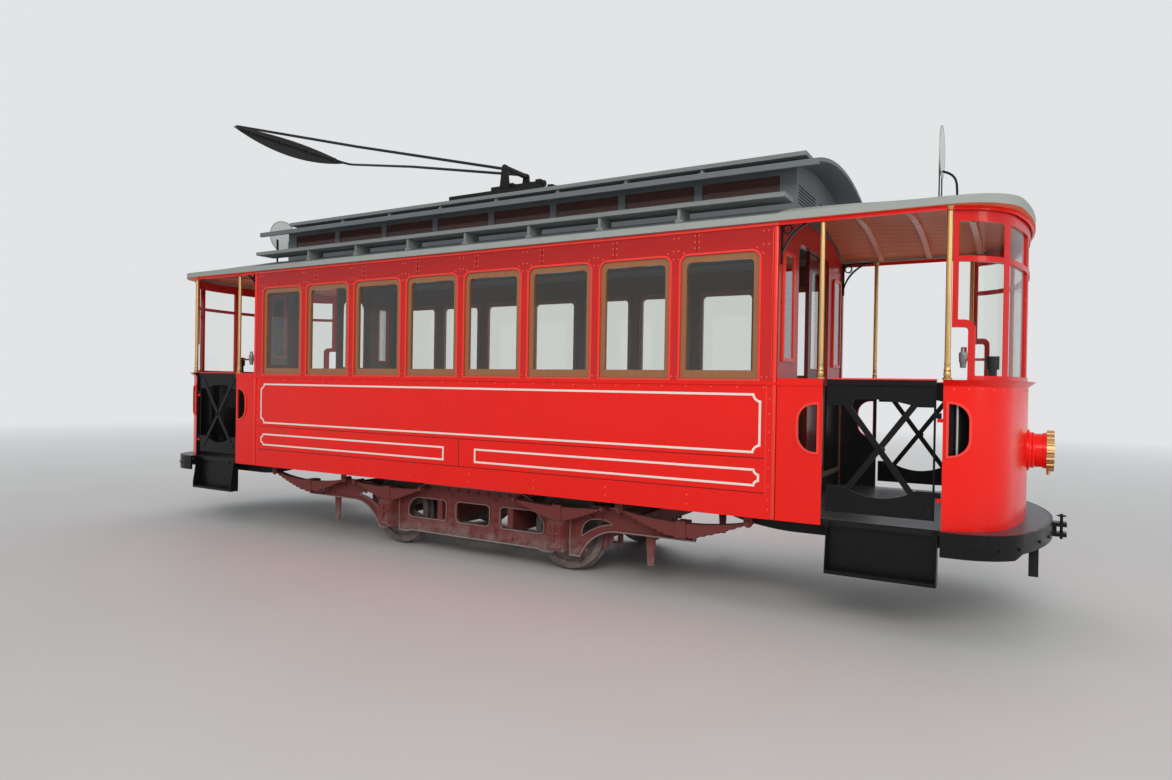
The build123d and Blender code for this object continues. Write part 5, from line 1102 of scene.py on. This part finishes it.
# Route plates: a round steel plate, blank and enamelled white with a grey edge, on two flat
# legs and a bent stay. One stands over each platform and faces along the car.
disc_radius = 0.200
disc_depth = 0.006
edge_width = 0.02
plate_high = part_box("route_plate")[1]
plate_x = plate_high.x - disc_depth
disc_z = plate_high.z - disc_radius
leg_foot_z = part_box("canopies")[1].z - 0.055
plate_paint = Finish("plate_paint", (0.70, 0.71, 0.70), 0.4)
plate_marks = plate_paint.noise(0.08, 4)
plate_paint.set("Base Color", plate_paint.mix(plate_marks, (0.64, 0.65, 0.64), (0.74, 0.75, 0.74)))
coat_nodes(plate_paint, "route_plate")
disc = take("cylinder", vertices=64, radius=disc_radius, depth=disc_depth, location=(0, 0, 0))
work = edit(disc)
for face in work.faces:
    face.select = abs(face.normal.z) > 0.9
bpy.ops.mesh.inset(thickness=0.010, use_individual=True)
bpy.ops.mesh.inset(thickness=0.003, depth=-0.0015, use_individual=True)
done(disc)
disc.data.transform(Matrix.Translation((plate_x, 0, disc_z)) @ Matrix.Rotation(pi / 2, 4, "Y"))
disc.data.materials.append(plate_paint.material)
disc.data.materials.append(zinc.material)
for face in disc.data.polygons:
    spread = (face.center.y**2 + (face.center.z - disc_z) ** 2) ** 0.5
    in_middle = spread < disc_radius - edge_width and abs(face.normal.x) > 0.9
    face.material_index = 0 if in_middle else 1
leg_bars = [
    # x from, x to, half width, top
    (plate_x - 0.012, plate_x - 0.003, 0.012, disc_z - 0.05),
    (plate_x - 0.034, plate_x + 0.010, 0.016, leg_foot_z + 0.006),
]
legs = [
    moulding((x0, y - half, leg_foot_z), (x1, y + half, top), 0.002)
    for y in (-0.09, 0.09)
    for x0, x1, half, top in leg_bars
]
stay_path = bpy.data.curves.new("stay", "CURVE")
stay_path.dimensions = "3D"
stay_path.bevel_depth = 0.009
stay_path.bevel_resolution = 3
run = stay_path.splines.new("NURBS")
run.points.add(4)
stay_points = [
    (plate_x + 0.004, 0.0, disc_z - 0.150), (plate_x + 0.050, 0.0, disc_z - 0.165),
    (plate_x + 0.100, 0.0, disc_z - 0.215), (plate_x + 0.112, 0.0, disc_z - 0.300),
    (plate_x + 0.112, 0.0, leg_foot_z - 0.010),
]
for spot, place in zip(run.points, stay_points):
    spot.co = (*place, 1)
run.order_u = 3
run.use_endpoint_u = True
stay_curve = bpy.data.objects.new("stay_curve", stay_path)
bpy.context.scene.collection.objects.link(stay_curve)
bpy.context.view_layer.update()
stay = bpy.data.objects.new("stay", bpy.data.meshes.new_from_object(stay_curve))
bpy.context.scene.collection.objects.link(stay)
bpy.data.objects.remove(stay_curve)
smooth(stay)
legs.append(stay)
leg_set = join("plate_legs", legs)
rear_legs = copy_at(leg_set, (0, 0, 0), angle=pi)
fit(join("plate_legs", [leg_set, rear_legs]), enamel)
plates = join("route_plates", [disc, copy_at(disc, (0, 0, 0), angle=pi)])
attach(plates, "car")
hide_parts("route_plate")
